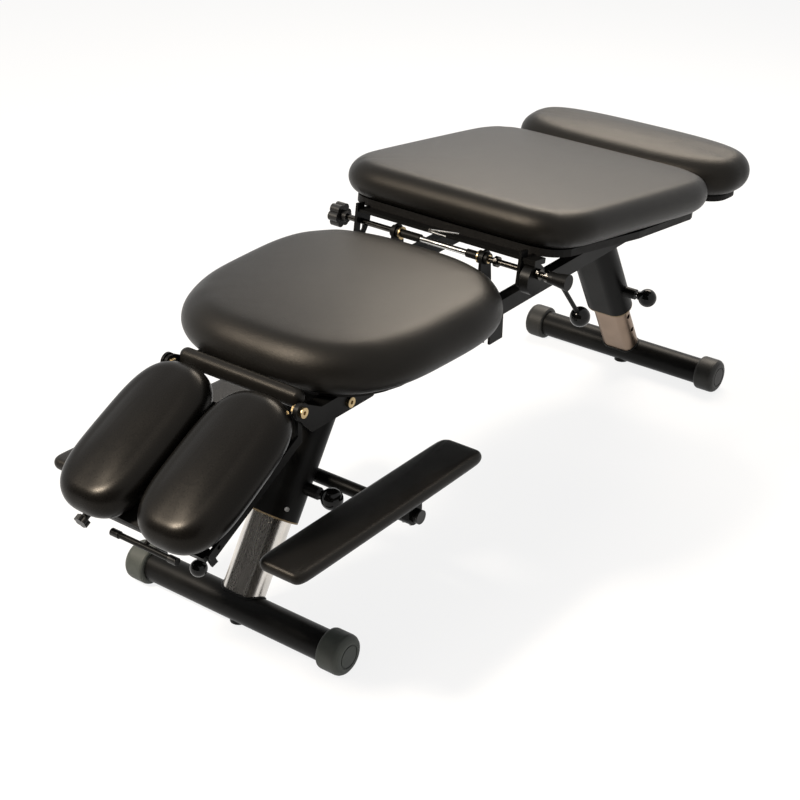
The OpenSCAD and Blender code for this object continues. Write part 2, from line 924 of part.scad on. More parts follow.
module leg_tube(length, pin_up, holes_below, holes_above) {
    difference() {
        linear_extrude(length) oval(leg_w, leg_d);
        translate([0, 0, -over]) linear_extrude(length + 2 * over)
            oval(leg_w - 2 * leg_wall, leg_d - 2 * leg_wall);
        rod_y(floor_tube_d, -leg_w, leg_w);
        for (k = [-holes_below : holes_above]) translate([0, 0, pin_up + k * hole_pitch])
            rod_y(hole_d, -leg_w / 2 - over, -leg_w / 2 + leg_d / 2);
    }
}

module head_leg_tube() {
    color("silver") along_head_leg() leg_tube(head_leg_show + head_leg_inside,
        head_leg_show + head_pin_up, head_holes_below, head_holes_above);
}

module foot_leg_tube() {
    color("silver") along_foot_leg() leg_tube(foot_leg_show + foot_leg_inside,
        foot_leg_show + foot_pin_up, foot_holes_below, foot_holes_above);
}

module floor_tube() {
    bore = floor_tube_d - 2 * floor_tube_wall;
    difference() {
        union() {
            rod_y(floor_tube_d, -floor_tube_half, floor_tube_half);
            translate([0, 0, -floor_tube_d / 2 - boss_drop]) cylinder(d = boss_d, h = floor_tube_d / 2);
        }
        rod_y(bore, -floor_tube_half - over, floor_tube_half + over);
    }
}

module head_floor_tube() {
    color("dimgray") at_table() translate([0, 0, floor_tube_z]) floor_tube();
}

module foot_floor_tube() {
    color("dimgray") at_table() translate([floor_spacing, 0, floor_tube_z]) floor_tube();
}

// End cap: a cup over the tube with a rounded rim and a groove round its end
module end_cap() {
    r = cap_d / 2;
    end = cap_l + cap_end_t;
    groove_r = cap_groove_d / 2;
    rotate_extrude() polygon(concat(
        [[floor_tube_d / 2, 0]],
        [for (a = [-90 : 30 : 0])
            [r - cap_back_round + cap_back_round * cos(a), cap_back_round + cap_back_round * sin(a)]],
        [for (a = [0 : 22.5 : 90]) [r - cap_round + cap_round * cos(a), end - cap_round + cap_round * sin(a)]],
        [[groove_r, end], [groove_r, end - cap_groove_deep],
        [groove_r - cap_groove_w, end - cap_groove_deep], [groove_r - cap_groove_w, end],
        [0, end], [0, cap_l], [floor_tube_d / 2, cap_l]]
    ));
}

module floor_caps() {
    difference() {
        for (side = [-1, 1]) translate([0, side * (floor_tube_half - cap_l), floor_tube_z])
            rotate([-side * 90, 0, 0]) end_cap();
        block([-cap_d, -floor_tube_l, -cap_d], [cap_d, floor_tube_l, 0]);
    }
}

module head_floor_caps() {
    color("darkslategray") at_table() floor_caps();
}

module foot_floor_caps() {
    color("black") at_table() translate([floor_spacing, 0, 0]) floor_caps();
}

// Pull pins

ball_y = -sleeve_w / 2 - housing_l - pin_ball_gap - pin_ball_d / 2;

module pull_pin() {
    flange_front = -sleeve_w / 2 - housing_nose - pin_throw - 2 * run_gap;
    rod_y(pin_d, ball_y, -leg_w / 2 - pin_nose_gap);
    rod_y(pin_flange_d, flange_front - pin_flange_t, flange_front);
}

module pin_ball() {
    difference() {
        union() {
            translate([0, ball_y, 0]) sphere(d = pin_ball_d);
            rod_y(pin_ball_neck_d, ball_y, ball_y + pin_ball_d / 2 + pin_ball_neck_l);
        }
        rod_y(pin_d, ball_y, 0);
    }
}

module head_pull_pin() {
    color("silver") along_head_leg() translate([0, 0, head_leg_show + head_pin_up]) pull_pin();
}

module head_pin_ball() {
    color("black") along_head_leg() translate([0, 0, head_leg_show + head_pin_up]) pin_ball();
}

module foot_pull_pin() {
    color("silver") along_foot_leg() translate([0, 0, foot_leg_show + foot_pin_up]) pull_pin();
}

module foot_pin_ball() {
    color("black") along_foot_leg() translate([0, 0, foot_leg_show + foot_pin_up]) pin_ball();
}

// Headpiece

base_arm_y = rail_span / 2 - slide_gap - base_arm_t / 2;
face_axis_z = face_board_low - face_hinge_down;
face_shaft_z = face_board_low - slide_gap - face_cam_r + face_cam_lift;
handle_axis_z = base_front_top - base_front_h - handle_hub_down;

module base_arm_outline() {
    circle(r = base_eye_r);
    polygon([
        [-base_eye_r / 2, 0],
        [-base_neck, face_board_low],
        [-base_arm_l, face_board_low],
        [-base_arm_l, base_low + base_arm_h / 4],
        [-base_arm_l + base_arm_h / 2, base_low],
        [-base_heel, base_low],
        [base_eye_r / 2, 0]
    ]);
}

module face_ear(l) {
    rod_y(face_eye_d, -l / 2, l / 2);
    block([-face_eye_d / 2, -l / 2, base_low + base_rear_h - face_axis_z], [face_eye_d / 2, l / 2, 0]);
}

module headpiece_base() {
    inner = base_arm_y - base_arm_t / 2;
    ear_y = face_eye_l / 2 + slide_gap + face_ear_t / 2;
    color("dimgray") at_pivot() difference() {
        union() {
            for (side = [-1, 1])
                plate_y(side * base_arm_y - base_arm_t / 2, side * base_arm_y + base_arm_t / 2)
                    base_arm_outline();
            // Rear cross bar, with the ears and pins of the face board's hinge
            block([-base_rear_l, -inner, base_low],
                [-base_rear_l + base_bar_w, inner, base_low + base_rear_h]);
            for (side = [-1, 1]) translate([-face_hinge_at, side * face_eye_y, face_axis_z]) {
                for (end = [-1, 1]) translate([0, end * ear_y, 0]) face_ear(face_ear_t);
                rod_y(face_pin_d, -ear_y, ear_y);
            }
            // Front cross bar, with the tension stud
            block([-base_front_l, -inner, base_front_top - base_front_h],
                [-base_front_l + base_bar_w, inner, base_front_top]);
            translate([-base_front_l - face_stud_out, face_stud_y, base_front_top - base_front_h / 2])
                rotate([0, 90, 0]) cylinder(d = face_stud_d, h = face_stud_out + base_bar_w / 2);
            // Lugs and pin of the release handle
            translate([-handle_hub_at, handle_y, handle_axis_z]) {
                for (y = [-handle_hub_l / 2 - slide_gap - handle_lug_t, handle_hub_l / 2 + slide_gap])
                    block([-handle_hub_d / 2, y, -handle_hub_d / 2],
                        [handle_hub_d / 2, y + handle_lug_t, handle_hub_down]);
                rod_y(face_pin_d, -handle_hub_l / 2 - handle_lug_t, handle_hub_l / 2 + handle_lug_t);
            }
            // Lug for the inner end of the drop lever's pin
            block([-base_front_l + base_bar_w, face_lug_y - face_lug_t / 2, base_front_top - base_front_h],
                [-face_lever_at + base_bar_w / 2, face_lug_y + face_lug_t / 2, base_front_top]);
            // Slanted tab below the front cross bar
            plate_y(-tab_y - tab_t / 2, -tab_y + tab_t / 2) polygon([
                [-base_front_l + base_bar_w - tab_w / 2, base_front_top - over],
                [-base_front_l + base_bar_w - tab_w / 2, base_front_top - tab_drop - tab_slant / 2],
                [-base_front_l + base_bar_w + tab_w / 2, base_front_top - tab_drop - 3 * tab_slant / 4],
                [-base_front_l + base_bar_w + tab_w / 2, base_front_top - base_front_h],
                [-base_front_l + base_bar_w - over, base_front_top - base_front_h],
                [-base_front_l + base_bar_w - over, base_front_top - over]
            ]);
        }
        rod_y(bolt_d + 2 * run_gap, -rail_span, rail_span);
        translate([-face_lever_at, 0, face_shaft_z])
            rod_y(hinge_pin_d + 2 * run_gap, -rail_span, face_lug_y + face_lug_t);
    }
}

module face_board() {
    color("saddlebrown") at_pivot() difference() {
        union() {
            translate([-(face_pad_l) / 2, 0, face_board_low])
                board(face_pad_l, face_board_w + 2 * face_board_in, face_board_w + 2 * face_board_in,
                    0, 2 * face_power, face_board_in, face_board_t);
            for (side = [-1, 1]) translate([-face_hinge_at, side * face_eye_y, face_axis_z]) {
                rod_y(face_eye_d, -face_eye_l / 2, face_eye_l / 2);
                block([-face_eye_d / 2, -face_eye_l / 2, 0],
                    [face_eye_d / 2, face_eye_l / 2, face_hinge_down + over]);
            }
        }
        for (side = [-1, 1]) translate([-face_hinge_at, side * face_eye_y, face_axis_z])
            rod_y(face_pin_d + 2 * run_gap, -face_eye_l, face_eye_l);
        block([-face_slot_at - face_slot_l, -face_slot_w / 2, face_board_low - over],
            [-face_slot_at, face_slot_w / 2, face_under + over]);
    }
}

// A face pad is splayed so that the gap between the pads stays even
face_splay = atan((face_pad_root_w - face_pad_tip_w) / 2 / face_pad_l);

module face_pad(side) {
    middle = (face_gap + (face_pad_root_w + face_pad_tip_w) / 2) / 2;
    color("black") at_pivot() translate([-face_pad_l / 2, side * middle, face_under])
        rotate([0, 0, side * face_splay])
        cushion(face_pad_l, face_pad_tip_w, face_pad_root_w, face_bow, face_power,
            face_r, face_r, face_pad_t, face_crown);
}

module left_face_pad() {
    face_pad(1);
}

module right_face_pad() {
    face_pad(-1);
}

module at_handle() {
    at_pivot() translate([-handle_hub_at, handle_y, handle_axis_z]) children();
}

module release_handle() {
    bar_half_l = handle_l / 2 - handle_tip_l;
    color("dimgray") at_handle() difference() {
        union() {
            rod_y(handle_hub_d, -handle_hub_l / 2, handle_hub_l / 2);
            rotate([0, -90, 0]) cylinder(d = handle_stem_d, h = handle_at - handle_hub_at);
            translate([handle_hub_at - handle_at, 0, 0]) rod_y(handle_d, -bar_half_l, bar_half_l);
        }
        rod_y(face_pin_d + 2 * run_gap, -handle_hub_l, handle_hub_l);
    }
}

module release_handle_tips() {
    color("black") at_handle() translate([handle_hub_at - handle_at, 0, 0]) for (side = [0, 1])
        mirror([0, side, 0]) rod_y(handle_tip_d, handle_l / 2 - handle_tip_l, handle_l / 2);
}

module at_face_lever() {
    at_pivot() translate([-face_lever_at, 0, face_shaft_z]) children();
}

module head_drop_lever() {
    color("dimgray") at_face_lever() {
        rod_y(hinge_pin_d, -base_arm_y, face_lug_y + face_lug_t / 2);
        rod_y(face_lever_hub_d, face_lever_y - face_lever_t / 2, face_lever_y + face_lever_t / 2);
        translate([0, 0, -face_cam_lift])
            rod_y(2 * face_cam_r, face_lever_y + face_lever_t / 2, face_lever_y + face_lever_t / 2 + face_cam_t);
        translate([0, face_lever_y, 0]) rotate([0, 180 + face_lever_rest, 0])
            cylinder(d = face_lever_d, h = face_lever_l);
    }
}

module head_drop_ball() {
    color("black") at_face_lever() translate([0, face_lever_y, 0]) rotate([0, 180 + face_lever_rest, 0])
    difference() {
        translate([0, 0, face_lever_l]) sphere(d = face_ball_d);
        cylinder(d = face_lever_d, h = face_lever_l);
    }
}

module head_tension_knob() {
    color("black") at_pivot()
    translate([-base_front_l - face_stud_out, face_stud_y, base_front_top - base_front_h / 2])
    rotate([0, 90, 0]) difference() {
        union() {
            translate([0, 0, -face_knob_t / 2]) linear_extrude(face_knob_t) star(face_knob_d, knob_lobes);
            cylinder(d = face_knob_hub_d, h = face_knob_t / 2 + face_knob_hub_l);
        }
        cylinder(d = face_stud_d + 2 * run_gap, h = face_stud_out);
        translate([0, 0, -slide_gap]) cylinder(d = face_stud_d + 2 * run_gap, h = face_stud_d);
    }
}

// Pelvic section

module at_pelvic() {
    at_hinge() translate([pelvic_far - pelvic_l / 2, 0, pelvic_under]) children();
}

module pelvic_board() {
    color("saddlebrown") at_pelvic() board(pelvic_l, pelvic_head_w, pelvic_foot_w,
        pelvic_bow, pelvic_power, pelvic_board_in, pelvic_board_t);
}

module pelvic_cushion() {
    color("black") at_pelvic() translate([0, 0, pelvic_board_t])
        cushion(pelvic_l, pelvic_head_w, pelvic_foot_w, pelvic_bow, pelvic_power,
            pelvic_r, pelvic_r, pelvic_t, pelvic_crown);
}

// Cheek with a slot that lets the section rise on the shaft by the travel of the drop
module cheek() {
    low = shaft_local_z - drop_travel - cheek_play;
    front = -front_frame_l - cheek_nose;
    rear = -front_frame_l + front_bar_w + cheek_nose;
    slot_w = shaft_d + 2 * cheek_play;
    difference() {
        polygon([
            [front, pelvic_under + cheek_top],
            [front + cheek_ear_w, pelvic_under + cheek_top],
            [front + cheek_ear_w, pelvic_under - over],
            [rear, pelvic_under - over],
            [rear, -cheek_bottom + 2 * cheek_corner],
            [rear - cheek_corner, -cheek_bottom],
            [front + cheek_corner / 2, -cheek_bottom],
            [front, -cheek_bottom + cheek_corner / 2]
        ]);
        translate([shaft_local_x, shaft_local_z]) circle(d = slot_w);
        translate([shaft_local_x, low]) circle(d = slot_w);
        translate([shaft_local_x - slot_w / 2, low]) square([slot_w, shaft_local_z - low]);
    }
}

module pelvic_front_frame() {
    tube_z = front_bar_low - cross_tube_d / 2 + cross_tube_sunk;
    color("dimgray") at_hinge() difference() {
        union() {
            block([-front_frame_l, -front_right, front_bar_low],
                [-front_frame_l + front_bar_w, cheek_y + cheek_t, pelvic_under]);
            plate_y(cheek_y, cheek_y + cheek_t) cheek();
            plate_y(-cheek_y - cheek_t, -cheek_y) cheek();
            block([-front_frame_l, -front_right, follower_low],
                [-front_frame_l + front_bar_w, -front_right + follower_w, front_bar_low]);
            for (side = [-1, 1])
                block([-front_frame_l, side * strap_y - strap_w / 2, front_bar_low],
                    [-front_frame_l + strap_l, side * strap_y + strap_w / 2, pelvic_under]);
            translate([-cross_tube_at, 0, tube_z]) rod_y(cross_tube_d, -cross_tube_half, cross_tube_half);
        }
        translate([-cross_tube_at, 0, tube_z])
            rod_y(cross_tube_d - 2 * cross_tube_wall, -cross_tube_half - over, cross_tube_half + over);
    }
}

// Bent wire on the front edge of the front frame
module hairpin_wire() {
    at_x = -front_frame_l - hairpin_d / 2;
    bend = [at_x, hairpin_bend_y, pelvic_under + hairpin_bend_up];
    low = [at_x, hairpin_low_y, pelvic_under + hairpin_low_up];
    high = [at_x, hairpin_high_y, pelvic_under + hairpin_high_up];
    color("silver") at_hinge() {
        wire(bend - [0, 0, hairpin_eye_off], low, hairpin_d);
        wire(bend + [0, 0, hairpin_eye_off], high, hairpin_d);
        translate(bend) rotate([0, 90, 0]) cylinder(d = hairpin_eye_d, h = hairpin_d, center = true);
    }
}

module hinge_leaf() {
    color("silver") at_hinge() for (side = [-1, 1]) translate([0, side * hinge_y, 0]) difference() {
        union() {
            rod_y(hinge_barrel_d, -hinge_knuckle_l / 2, hinge_knuckle_l / 2);
            block([-hinge_barrel_d / 2, -hinge_knuckle_l / 2, 0],
                [hinge_barrel_d / 2, hinge_knuckle_l / 2, pelvic_under]);
            block([-hinge_leaf_l, -hinge_leaf_w / 2, pelvic_under - hinge_leaf_t],
                [hinge_barrel_d / 2, hinge_leaf_w / 2, pelvic_under]);
        }
        rod_y(hinge_pin_d + 2 * run_gap, -hinge_leaf_w, hinge_leaf_w);
    }
}

// Cross shaft with its cam, lever and knob

module cam_shaft() {
    color("silver") at_shaft() {
        rod_y(shaft_d, -shaft_right, shaft_left);
        for (y = collar_ys) rod_y(collar_d, y - collar_l / 2, y + collar_l / 2);
    }
}

module shaft_spacers() {
    inner = bearing_y - bearing_hub_l / 2 - shaft_bush_lip_t - slide_gap;
    color("black") at_shaft() difference() {
        union() {
            rod_y(spacer_d, spacer_left_end, inner);
            rod_y(spacer_d, -inner, -spacer_right_end);
        }
        rod_y(shaft_d, -rail_span, rail_span);
    }
}

module lift_cam() {
    color("dimgray") at_shaft() difference() {
        translate([0, 0, -drop_travel]) rod_y(2 * cam_r, cam_y - cam_t, cam_y);
        rod_y(shaft_d, -rail_span, 0);
    }
}

module cock_lever() {
    color("silver") at_shaft() difference() {
        union() {
            rod_y(lever_hub_d, lever_hub_y - lever_hub_step, lever_hub_y);
            translate([0, lever_hub_y - lever_hub_step, 0]) rotate([90, 0, 0])
                cylinder(d1 = lever_hub_d, d2 = lever_hub_end_d,
                    h = lever_hub_y - lever_hub_step - lever_hub_end_y);
            translate([0, lever_y, 0]) rotate([0, 180 - lever_rest, 0]) cylinder(d = lever_d, h = lever_l);
        }
        rod_y(shaft_d, -shaft_right, 0);
    }
}

module cock_lever_ball() {
    color("black") at_shaft() translate([0, lever_y, 0]) rotate([0, 180 - lever_rest, 0]) difference() {
        translate([0, 0, lever_l]) sphere(d = lever_ball_d);
        cylinder(d = lever_d, h = lever_l);
    }
}

module tension_knob() {
    color("black") at_shaft() difference() {
        union() {
            translate([0, knob_y + knob_t, 0]) rotate([90, 0, 0]) linear_extrude(knob_t)
                star(knob_d, knob_lobes);
            rod_y(knob_boss_d, knob_y - knob_boss_l, knob_y + over);
        }
        rod_y(shaft_d + 2 * run_gap, 0, shaft_left + slide_gap);
    }
}

// Armrests

module at_arm(side) {
    at_bar() rotate([0, side > 0 ? left_arm_turn : 0, 0]) children();
}

module armrest(side) {
    at_arm(side) translate([arm_start + arm_l / 2 - bar_at, side * arm_spacing / 2, arm_under - bar_z])
        cushion(arm_l, arm_w, arm_w, 0, arm_power, arm_edge, arm_low_edge, arm_t, arm_crown);
}

module arm_clamp(side) {
    clamp_d = bar_d + 2 * clamp_wall;
    rise = arm_under - bar_z;
    at_arm(side) translate([0, side * arm_spacing / 2, 0]) difference() {
        union() {
            rod_y(clamp_d, -clamp_w / 2, clamp_w / 2);
            block([-clamp_d / 2, -clamp_w / 2, 0], [clamp_d / 2, clamp_w / 2, rise]);
            block([-clamp_plate_l / 2, -clamp_w / 2, rise - clamp_plate_t],
                [clamp_plate_l / 2, clamp_w / 2, rise]);
        }
        rod_y(bar_d + 2 * run_gap, -clamp_w, clamp_w);
    }
}

module left_armrest() {
    color("black") armrest(1);
}

module left_arm_clamp() {
    color("dimgray") arm_clamp(1);
}

module right_armrest() {
    color("black") armrest(-1);
}

module right_arm_clamp() {
    color("dimgray") arm_clamp(-1);
}

left_rail();
right_rail();
head_crossmember();
mid_crossmember();
foot_crossmember();
head_sleeve();
foot_sleeve();
sleeve_bushes();
gusset_plates();
gusset_bolts();
neck_roll();
thoracic_board();
thoracic_cushion();
bolster_risers();
bolster_board();
foot_bolster();
bearing_brackets();
shaft_bushes();
stop_plate();
pin_housings();
pin_springs();
armrest_bar();
armrest_bar_bracket();
armrest_bar_plugs();
hinge_brackets();
hinge_pin();
head_leg_tube();
head_floor_tube();
head_floor_caps();
foot_leg_tube();
foot_floor_tube();
foot_floor_caps();
head_pull_pin();
head_pin_ball();
foot_pull_pin();
foot_pin_ball();
headpiece_base();
face_board();
left_face_pad();
right_face_pad();
release_handle();
release_handle_tips();
head_drop_lever();
head_drop_ball();
head_tension_knob();
pelvic_board();
pelvic_cushion();
pelvic_front_frame();
hairpin_wire();
hinge_leaf();
cam_shaft();
shaft_spacers();
lift_cam();
cock_lever();
cock_lever_ball();
tension_knob();
left_armrest();
left_arm_clamp();
right_armrest();
right_arm_clamp();
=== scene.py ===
import json
from collections import namedtuple
from math import asin, atan, cos, pi, radians, sin, sqrt, tan, tanh

import bmesh
import bpy
from mathutils import Matrix, Vector, noise


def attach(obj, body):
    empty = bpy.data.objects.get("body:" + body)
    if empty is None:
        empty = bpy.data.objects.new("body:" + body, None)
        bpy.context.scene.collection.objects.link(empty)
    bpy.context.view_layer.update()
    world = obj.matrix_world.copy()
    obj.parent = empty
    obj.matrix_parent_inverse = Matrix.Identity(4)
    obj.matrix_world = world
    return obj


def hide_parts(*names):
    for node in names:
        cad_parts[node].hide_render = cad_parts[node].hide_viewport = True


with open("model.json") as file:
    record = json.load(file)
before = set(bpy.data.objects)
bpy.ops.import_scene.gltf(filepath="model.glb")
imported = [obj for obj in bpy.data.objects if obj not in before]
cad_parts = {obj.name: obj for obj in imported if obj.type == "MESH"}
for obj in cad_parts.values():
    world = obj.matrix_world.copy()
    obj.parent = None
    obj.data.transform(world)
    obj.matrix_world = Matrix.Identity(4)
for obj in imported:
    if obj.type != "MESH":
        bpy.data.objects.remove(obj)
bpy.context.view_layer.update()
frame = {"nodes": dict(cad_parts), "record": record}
nodes = frame["nodes"]
slots = {r["node"]: r["material_slot"] for r in frame["record"]["subparts"]}
scene = bpy.context.scene
MM = 0.001

# Sizes of the table, in mm: x from the head floor tube, y to the left, z from the floor

HEAD_LEAN, FOOT_LEAN, DROOP, RISE, LEFT_ARM_TURN = (radians(v) for v in (32.5, 29.5, 28.44, 8.02, 2.6))
FLOOR_TUBE_R, FLOOR_TUBE_Z, SPACING = 30.0, 37.0, 1386.0
RAIL_BOTTOM, RAIL_TOP = 446.0, 478.0
PIVOT_X, PIVOT_Z = 2.0, RAIL_TOP + 10.0
HINGE_X, HINGE_Z = 1160.0, RAIL_TOP + 13.0
SHAFT_X, SHAFT_Z = 608.0, 553.0
ARM_BAR_X, ARM_BAR_Z, ARM_Y = 187.0, 239.0, 242.0
ARM_MID_X, ARM_SEAT_Z = 95.0, 280.0
BOARD_T, RISER_H = 12.0, 13.0
THORACIC_X = 31.8
PELVIC_L, PELVIC_T, PELVIC_FAR, PELVIC_UP = 635.6, 75.6, 66.7, 27.5
FACE_L, FACE_T, FACE_UP, FACE_GAP, FACE_TOP_IN = 320.0, 72.8, 8.8, 4.0, 2.5
BOLSTER_L, BOLSTER_T, BOLSTER_GAP = 212.0, 88.6, 4.0
ROLL_X = 10.0

# Each padding runs from its head end to its foot end; power is how square its outline is,
# bow how far its long sides swell, thick its height at the rim and crown what the middle adds
Padding = namedtuple("Padding", "length head_w foot_w bow power edge low_edge thick crown")
THORACIC = Padding(533, 508, 546, -5, 3.15, 50, 50, 90.6, 6)
PELVIC = Padding(PELVIC_L, 548, 576, 12, 8.7, PELVIC_T / 2, PELVIC_T / 2, PELVIC_T, 6)
BOLSTER = Padding(BOLSTER_L, 586, 614, -20, 2.66, BOLSTER_T / 2, BOLSTER_T / 2, BOLSTER_T, 4)
FACE = Padding(FACE_L, 178, 172, 0, 3.4, FACE_T / 2, FACE_T / 2, FACE_T - FACE_TOP_IN, 9)
ROLL = Padding(28, 276, 276, 0, 8, 12.5, 12.5, 36, 1)
ARM = Padding(530, 98, 98, 0, 13.8, 9.6, 12, 24.6, 1.5)

# The frame's origin is midway between the tip of the headpiece and the foot end of the bolster
tip = PIVOT_X - (FACE_L - FACE_T / 2) * cos(DROOP) - FACE_UP * sin(DROOP) - FACE_T / 2
pelvic_end = (HINGE_X + (PELVIC_FAR - PELVIC_T / 2) * cos(RISE)
              + (PELVIC_UP + PELVIC_T / 2) * sin(RISE) + PELVIC_T / 2)
BOLSTER_X = pelvic_end + BOLSTER_GAP
MID = (tip + BOLSTER_X + BOLSTER_L) / 2


def shift(x, y, z):
    return Matrix.Translation(Vector((x, y, z)) * MM)


def at(x, y, z):
    """A place on the table in mm, as a shift in metres from the frame's origin."""
    return shift(x - MID, y, z)


def turn(angle, axis="Y"):
    return Matrix.Rotation(angle, 4, axis)


TABLE = at(0, 0, 0)
AT_PIVOT = at(PIVOT_X, 0, PIVOT_Z) @ turn(-DROOP)
AT_HINGE = at(HINGE_X, 0, HINGE_Z) @ turn(RISE)
HEAD_LEG = at(0, 0, FLOOR_TUBE_Z) @ turn(HEAD_LEAN)
FOOT_LEG = at(SPACING, 0, FLOOR_TUBE_Z) @ turn(-FOOT_LEAN)
PELVIC_MID_X = PELVIC_FAR - PELVIC_L / 2
ARMS = {word: (side, at(ARM_BAR_X, side * ARM_Y, ARM_BAR_Z) @ turn(angle))
        for word, side, angle in (("left", 1, LEFT_ARM_TURN), ("right", -1, 0))}


# Materials

mats = {}


def shader(name, colour, rough, metallic=0.0, specular=0.5):
    """A new plain material, kept in mats under its name."""
    mat = mats[name] = bpy.data.materials.new(name)
    mat.use_nodes = True
    tree = mat.node_tree
    principled = tree.nodes["Principled BSDF"]
    principled.inputs["Base Color"].default_value = (*colour, 1)
    principled.inputs["Roughness"].default_value = rough
    principled.inputs["Metallic"].default_value = metallic
    principled.inputs["Specular IOR Level"].default_value = specular
    return mat, tree, principled


def coords(tree, scale=(1, 1, 1), lean=0.0):
    """Object coordinates, first turned so that Z lies along a leaning piece, then scaled."""
    where = tree.nodes.new("ShaderNodeTexCoord")
    mapping = tree.nodes.new("ShaderNodeMapping")
    mapping.vector_type = "TEXTURE"
    mapping.inputs["Scale"].default_value = [1 / s for s in scale]
    mapping.inputs["Rotation"].default_value = (0, lean, 0)
    tree.links.new(where.outputs["Object"], mapping.inputs["Vector"])
    return mapping.outputs["Vector"]


def cloud(tree, vector, scale, detail=3.0, rough=0.5):
    node = tree.nodes.new("ShaderNodeTexNoise")
    node.inputs["Scale"].default_value = scale
    node.inputs["Detail"].default_value = detail
    node.inputs["Roughness"].default_value = rough
    tree.links.new(vector, node.inputs["Vector"])
    return node.outputs["Fac"]


def cells(tree, vector, scale):
    """Distance to the nearest border of a pattern of cells."""
    node = tree.nodes.new("ShaderNodeTexVoronoi")
    node.feature = "DISTANCE_TO_EDGE"
    node.inputs["Scale"].default_value = scale
    tree.links.new(vector, node.inputs["Vector"])
    return node.outputs["Distance"]


def ranged(tree, value, low, high, start=0.0, stop=1.0):
    node = tree.nodes.new("ShaderNodeMapRange")
    for key, v in (("From Min", start), ("From Max", stop), ("To Min", low), ("To Max", high)):
        node.inputs[key].default_value = v
    tree.links.new(value, node.inputs["Value"])
    return node.outputs["Result"]


def maths(tree, operation, first, second):
    """One arithmetic node; second may be a number or a socket."""
    node = tree.nodes.new("ShaderNodeMath")
    node.operation = operation
    tree.links.new(first, node.inputs[0])
    if isinstance(second, float):
        node.inputs[1].default_value = second
    else:
        tree.links.new(second, node.inputs[1])
    return node.outputs[0]


def tinted(tree, principled, value, colour, low, high, start=0.3, stop=0.7):
    """Base colour between two shares of one colour, as a cloud goes from start to stop."""
    ramp = tree.nodes.new("ShaderNodeValToRGB")
    for element, position, share in zip(ramp.color_ramp.elements, (start, stop), (low, high)):
        element.position = position
        element.color = (*(c * share for c in colour), 1)
    tree.links.new(value, ramp.inputs["Fac"])
    tree.links.new(ramp.outputs["Color"], principled.inputs["Base Color"])


def roughened(tree, principled, value, low, high):
    tree.links.new(ranged(tree, value, low, high, 0.3, 0.7), principled.inputs["Roughness"])


def bumps(tree, principled, *layers):
    """Chain of bump nodes, each (height, strength, distance in metres)."""
    last = None
    for height, strength, distance in layers:
        node = tree.nodes.new("ShaderNodeBump")
        node.inputs["Strength"].default_value = strength
        node.inputs["Distance"].default_value = distance
        tree.links.new(height, node.inputs["Height"])
        if last:
            tree.links.new(last, node.inputs["Normal"])
        last = node.outputs["Normal"]
    tree.links.new(last, principled.inputs["Normal"])


def vinyl(name, colour, rough=0.38, specular=0.16, relief=1.0):
    """Black leatherette: fine pebble grain, faint creases and an uneven satin."""
    _, tree, p = shader(name, colour, rough, specular=specular)
    p.inputs["Specular Tint"].default_value = (1.0, 0.93, 0.84, 1)
    v = coords(tree)
    broad, fine = cloud(tree, v, 9.0, 2.0), cloud(tree, v, 420.0, 3.0)
    pores = ranged(tree, cells(tree, v, 1500.0), 0, 1, 0.0, 0.12)
    tinted(tree, p, broad, colour, 0.8, 1.25)
    roughened(tree, p, fine, rough - 0.04, rough + 0.05)
    creases = cloud(tree, v, 26.0, 2.0)
    bumps(tree, p, (pores, 0.16 * relief, 0.0003), (fine, 0.10 * relief, 0.0006), (creases, 0.05, 0.004))


def coated(name, colour, rough=0.38, specular=0.1):
    """Powder coat: fine orange peel, a few duller patches."""
    _, tree, p = shader(name, colour, rough, specular=specular)
    v = coords(tree)
    broad, peel = cloud(tree, v, 14.0, 4.0), cloud(tree, v, 700.0, 2.0)
    tinted(tree, p, broad, colour, 0.85, 1.3)
    roughened(tree, p, broad, rough - 0.05, rough + 0.07)
    bumps(tree, p, (peel, 0.12, 0.0004), (cloud(tree, v, 160.0, 2.0), 0.05, 0.0005))


def metal(name, colour, rough, along=(1, 1, 1), lean=0.0, streak=300.0, dirt=0.7, bump=0.05, vary=0.07):
    """Metal with brush lines along one direction and faint stains."""
    _, tree, p = shader(name, colour, rough, metallic=1.0)
    lines = cloud(tree, coords(tree, along, lean), streak, 5.0, 0.65)
    stain = cloud(tree, coords(tree), 22.0, 4.0)
    tinted(tree, p, stain, colour, dirt, 1.0, 0.35, 0.6)
    roughened(tree, p, lines, rough - vary, rough + 1.4 * vary)
    bumps(tree, p, (lines, bump, 0.0003))


def moulded(name, colour, rough, scale=900.0, bump=0.08, specular=0.3):
    """Moulded plastic or rubber with a fine texture."""
    _, tree, p = shader(name, colour, rough, specular=specular)
    v = coords(tree)
    fine, broad = cloud(tree, v, scale, 3.0), cloud(tree, v, 30.0, 3.0)
    tinted(tree, p, broad, colour, 0.85, 1.15)
    roughened(tree, p, broad, rough - 0.04, rough + 0.06)
    bumps(tree, p, (fine, bump, 0.0003))


def plywood(name, colour):
    """Sealed plywood, painted black, with plies showing faintly on the edge."""
    _, tree, p = shader(name, colour, 0.55, specular=0.1)
    grain = cloud(tree, coords(tree, (6, 60, 60)), 6.0, 6.0, 0.6)
    plies = tree.nodes.new("ShaderNodeTexWave")
    plies.bands_direction = "Z"
    plies.inputs["Scale"].default_value = 110.0
    plies.inputs["Distortion"].default_value = 0.6
    tree.links.new(coords(tree), plies.inputs["Vector"])
    tinted(tree, p, grain, colour, 0.6, 1.5)
    roughened(tree, p, grain, 0.42, 0.62)
    bumps(tree, p, (grain, 0.15, 0.0005), (plies.outputs["Fac"], 0.08, 0.0004))


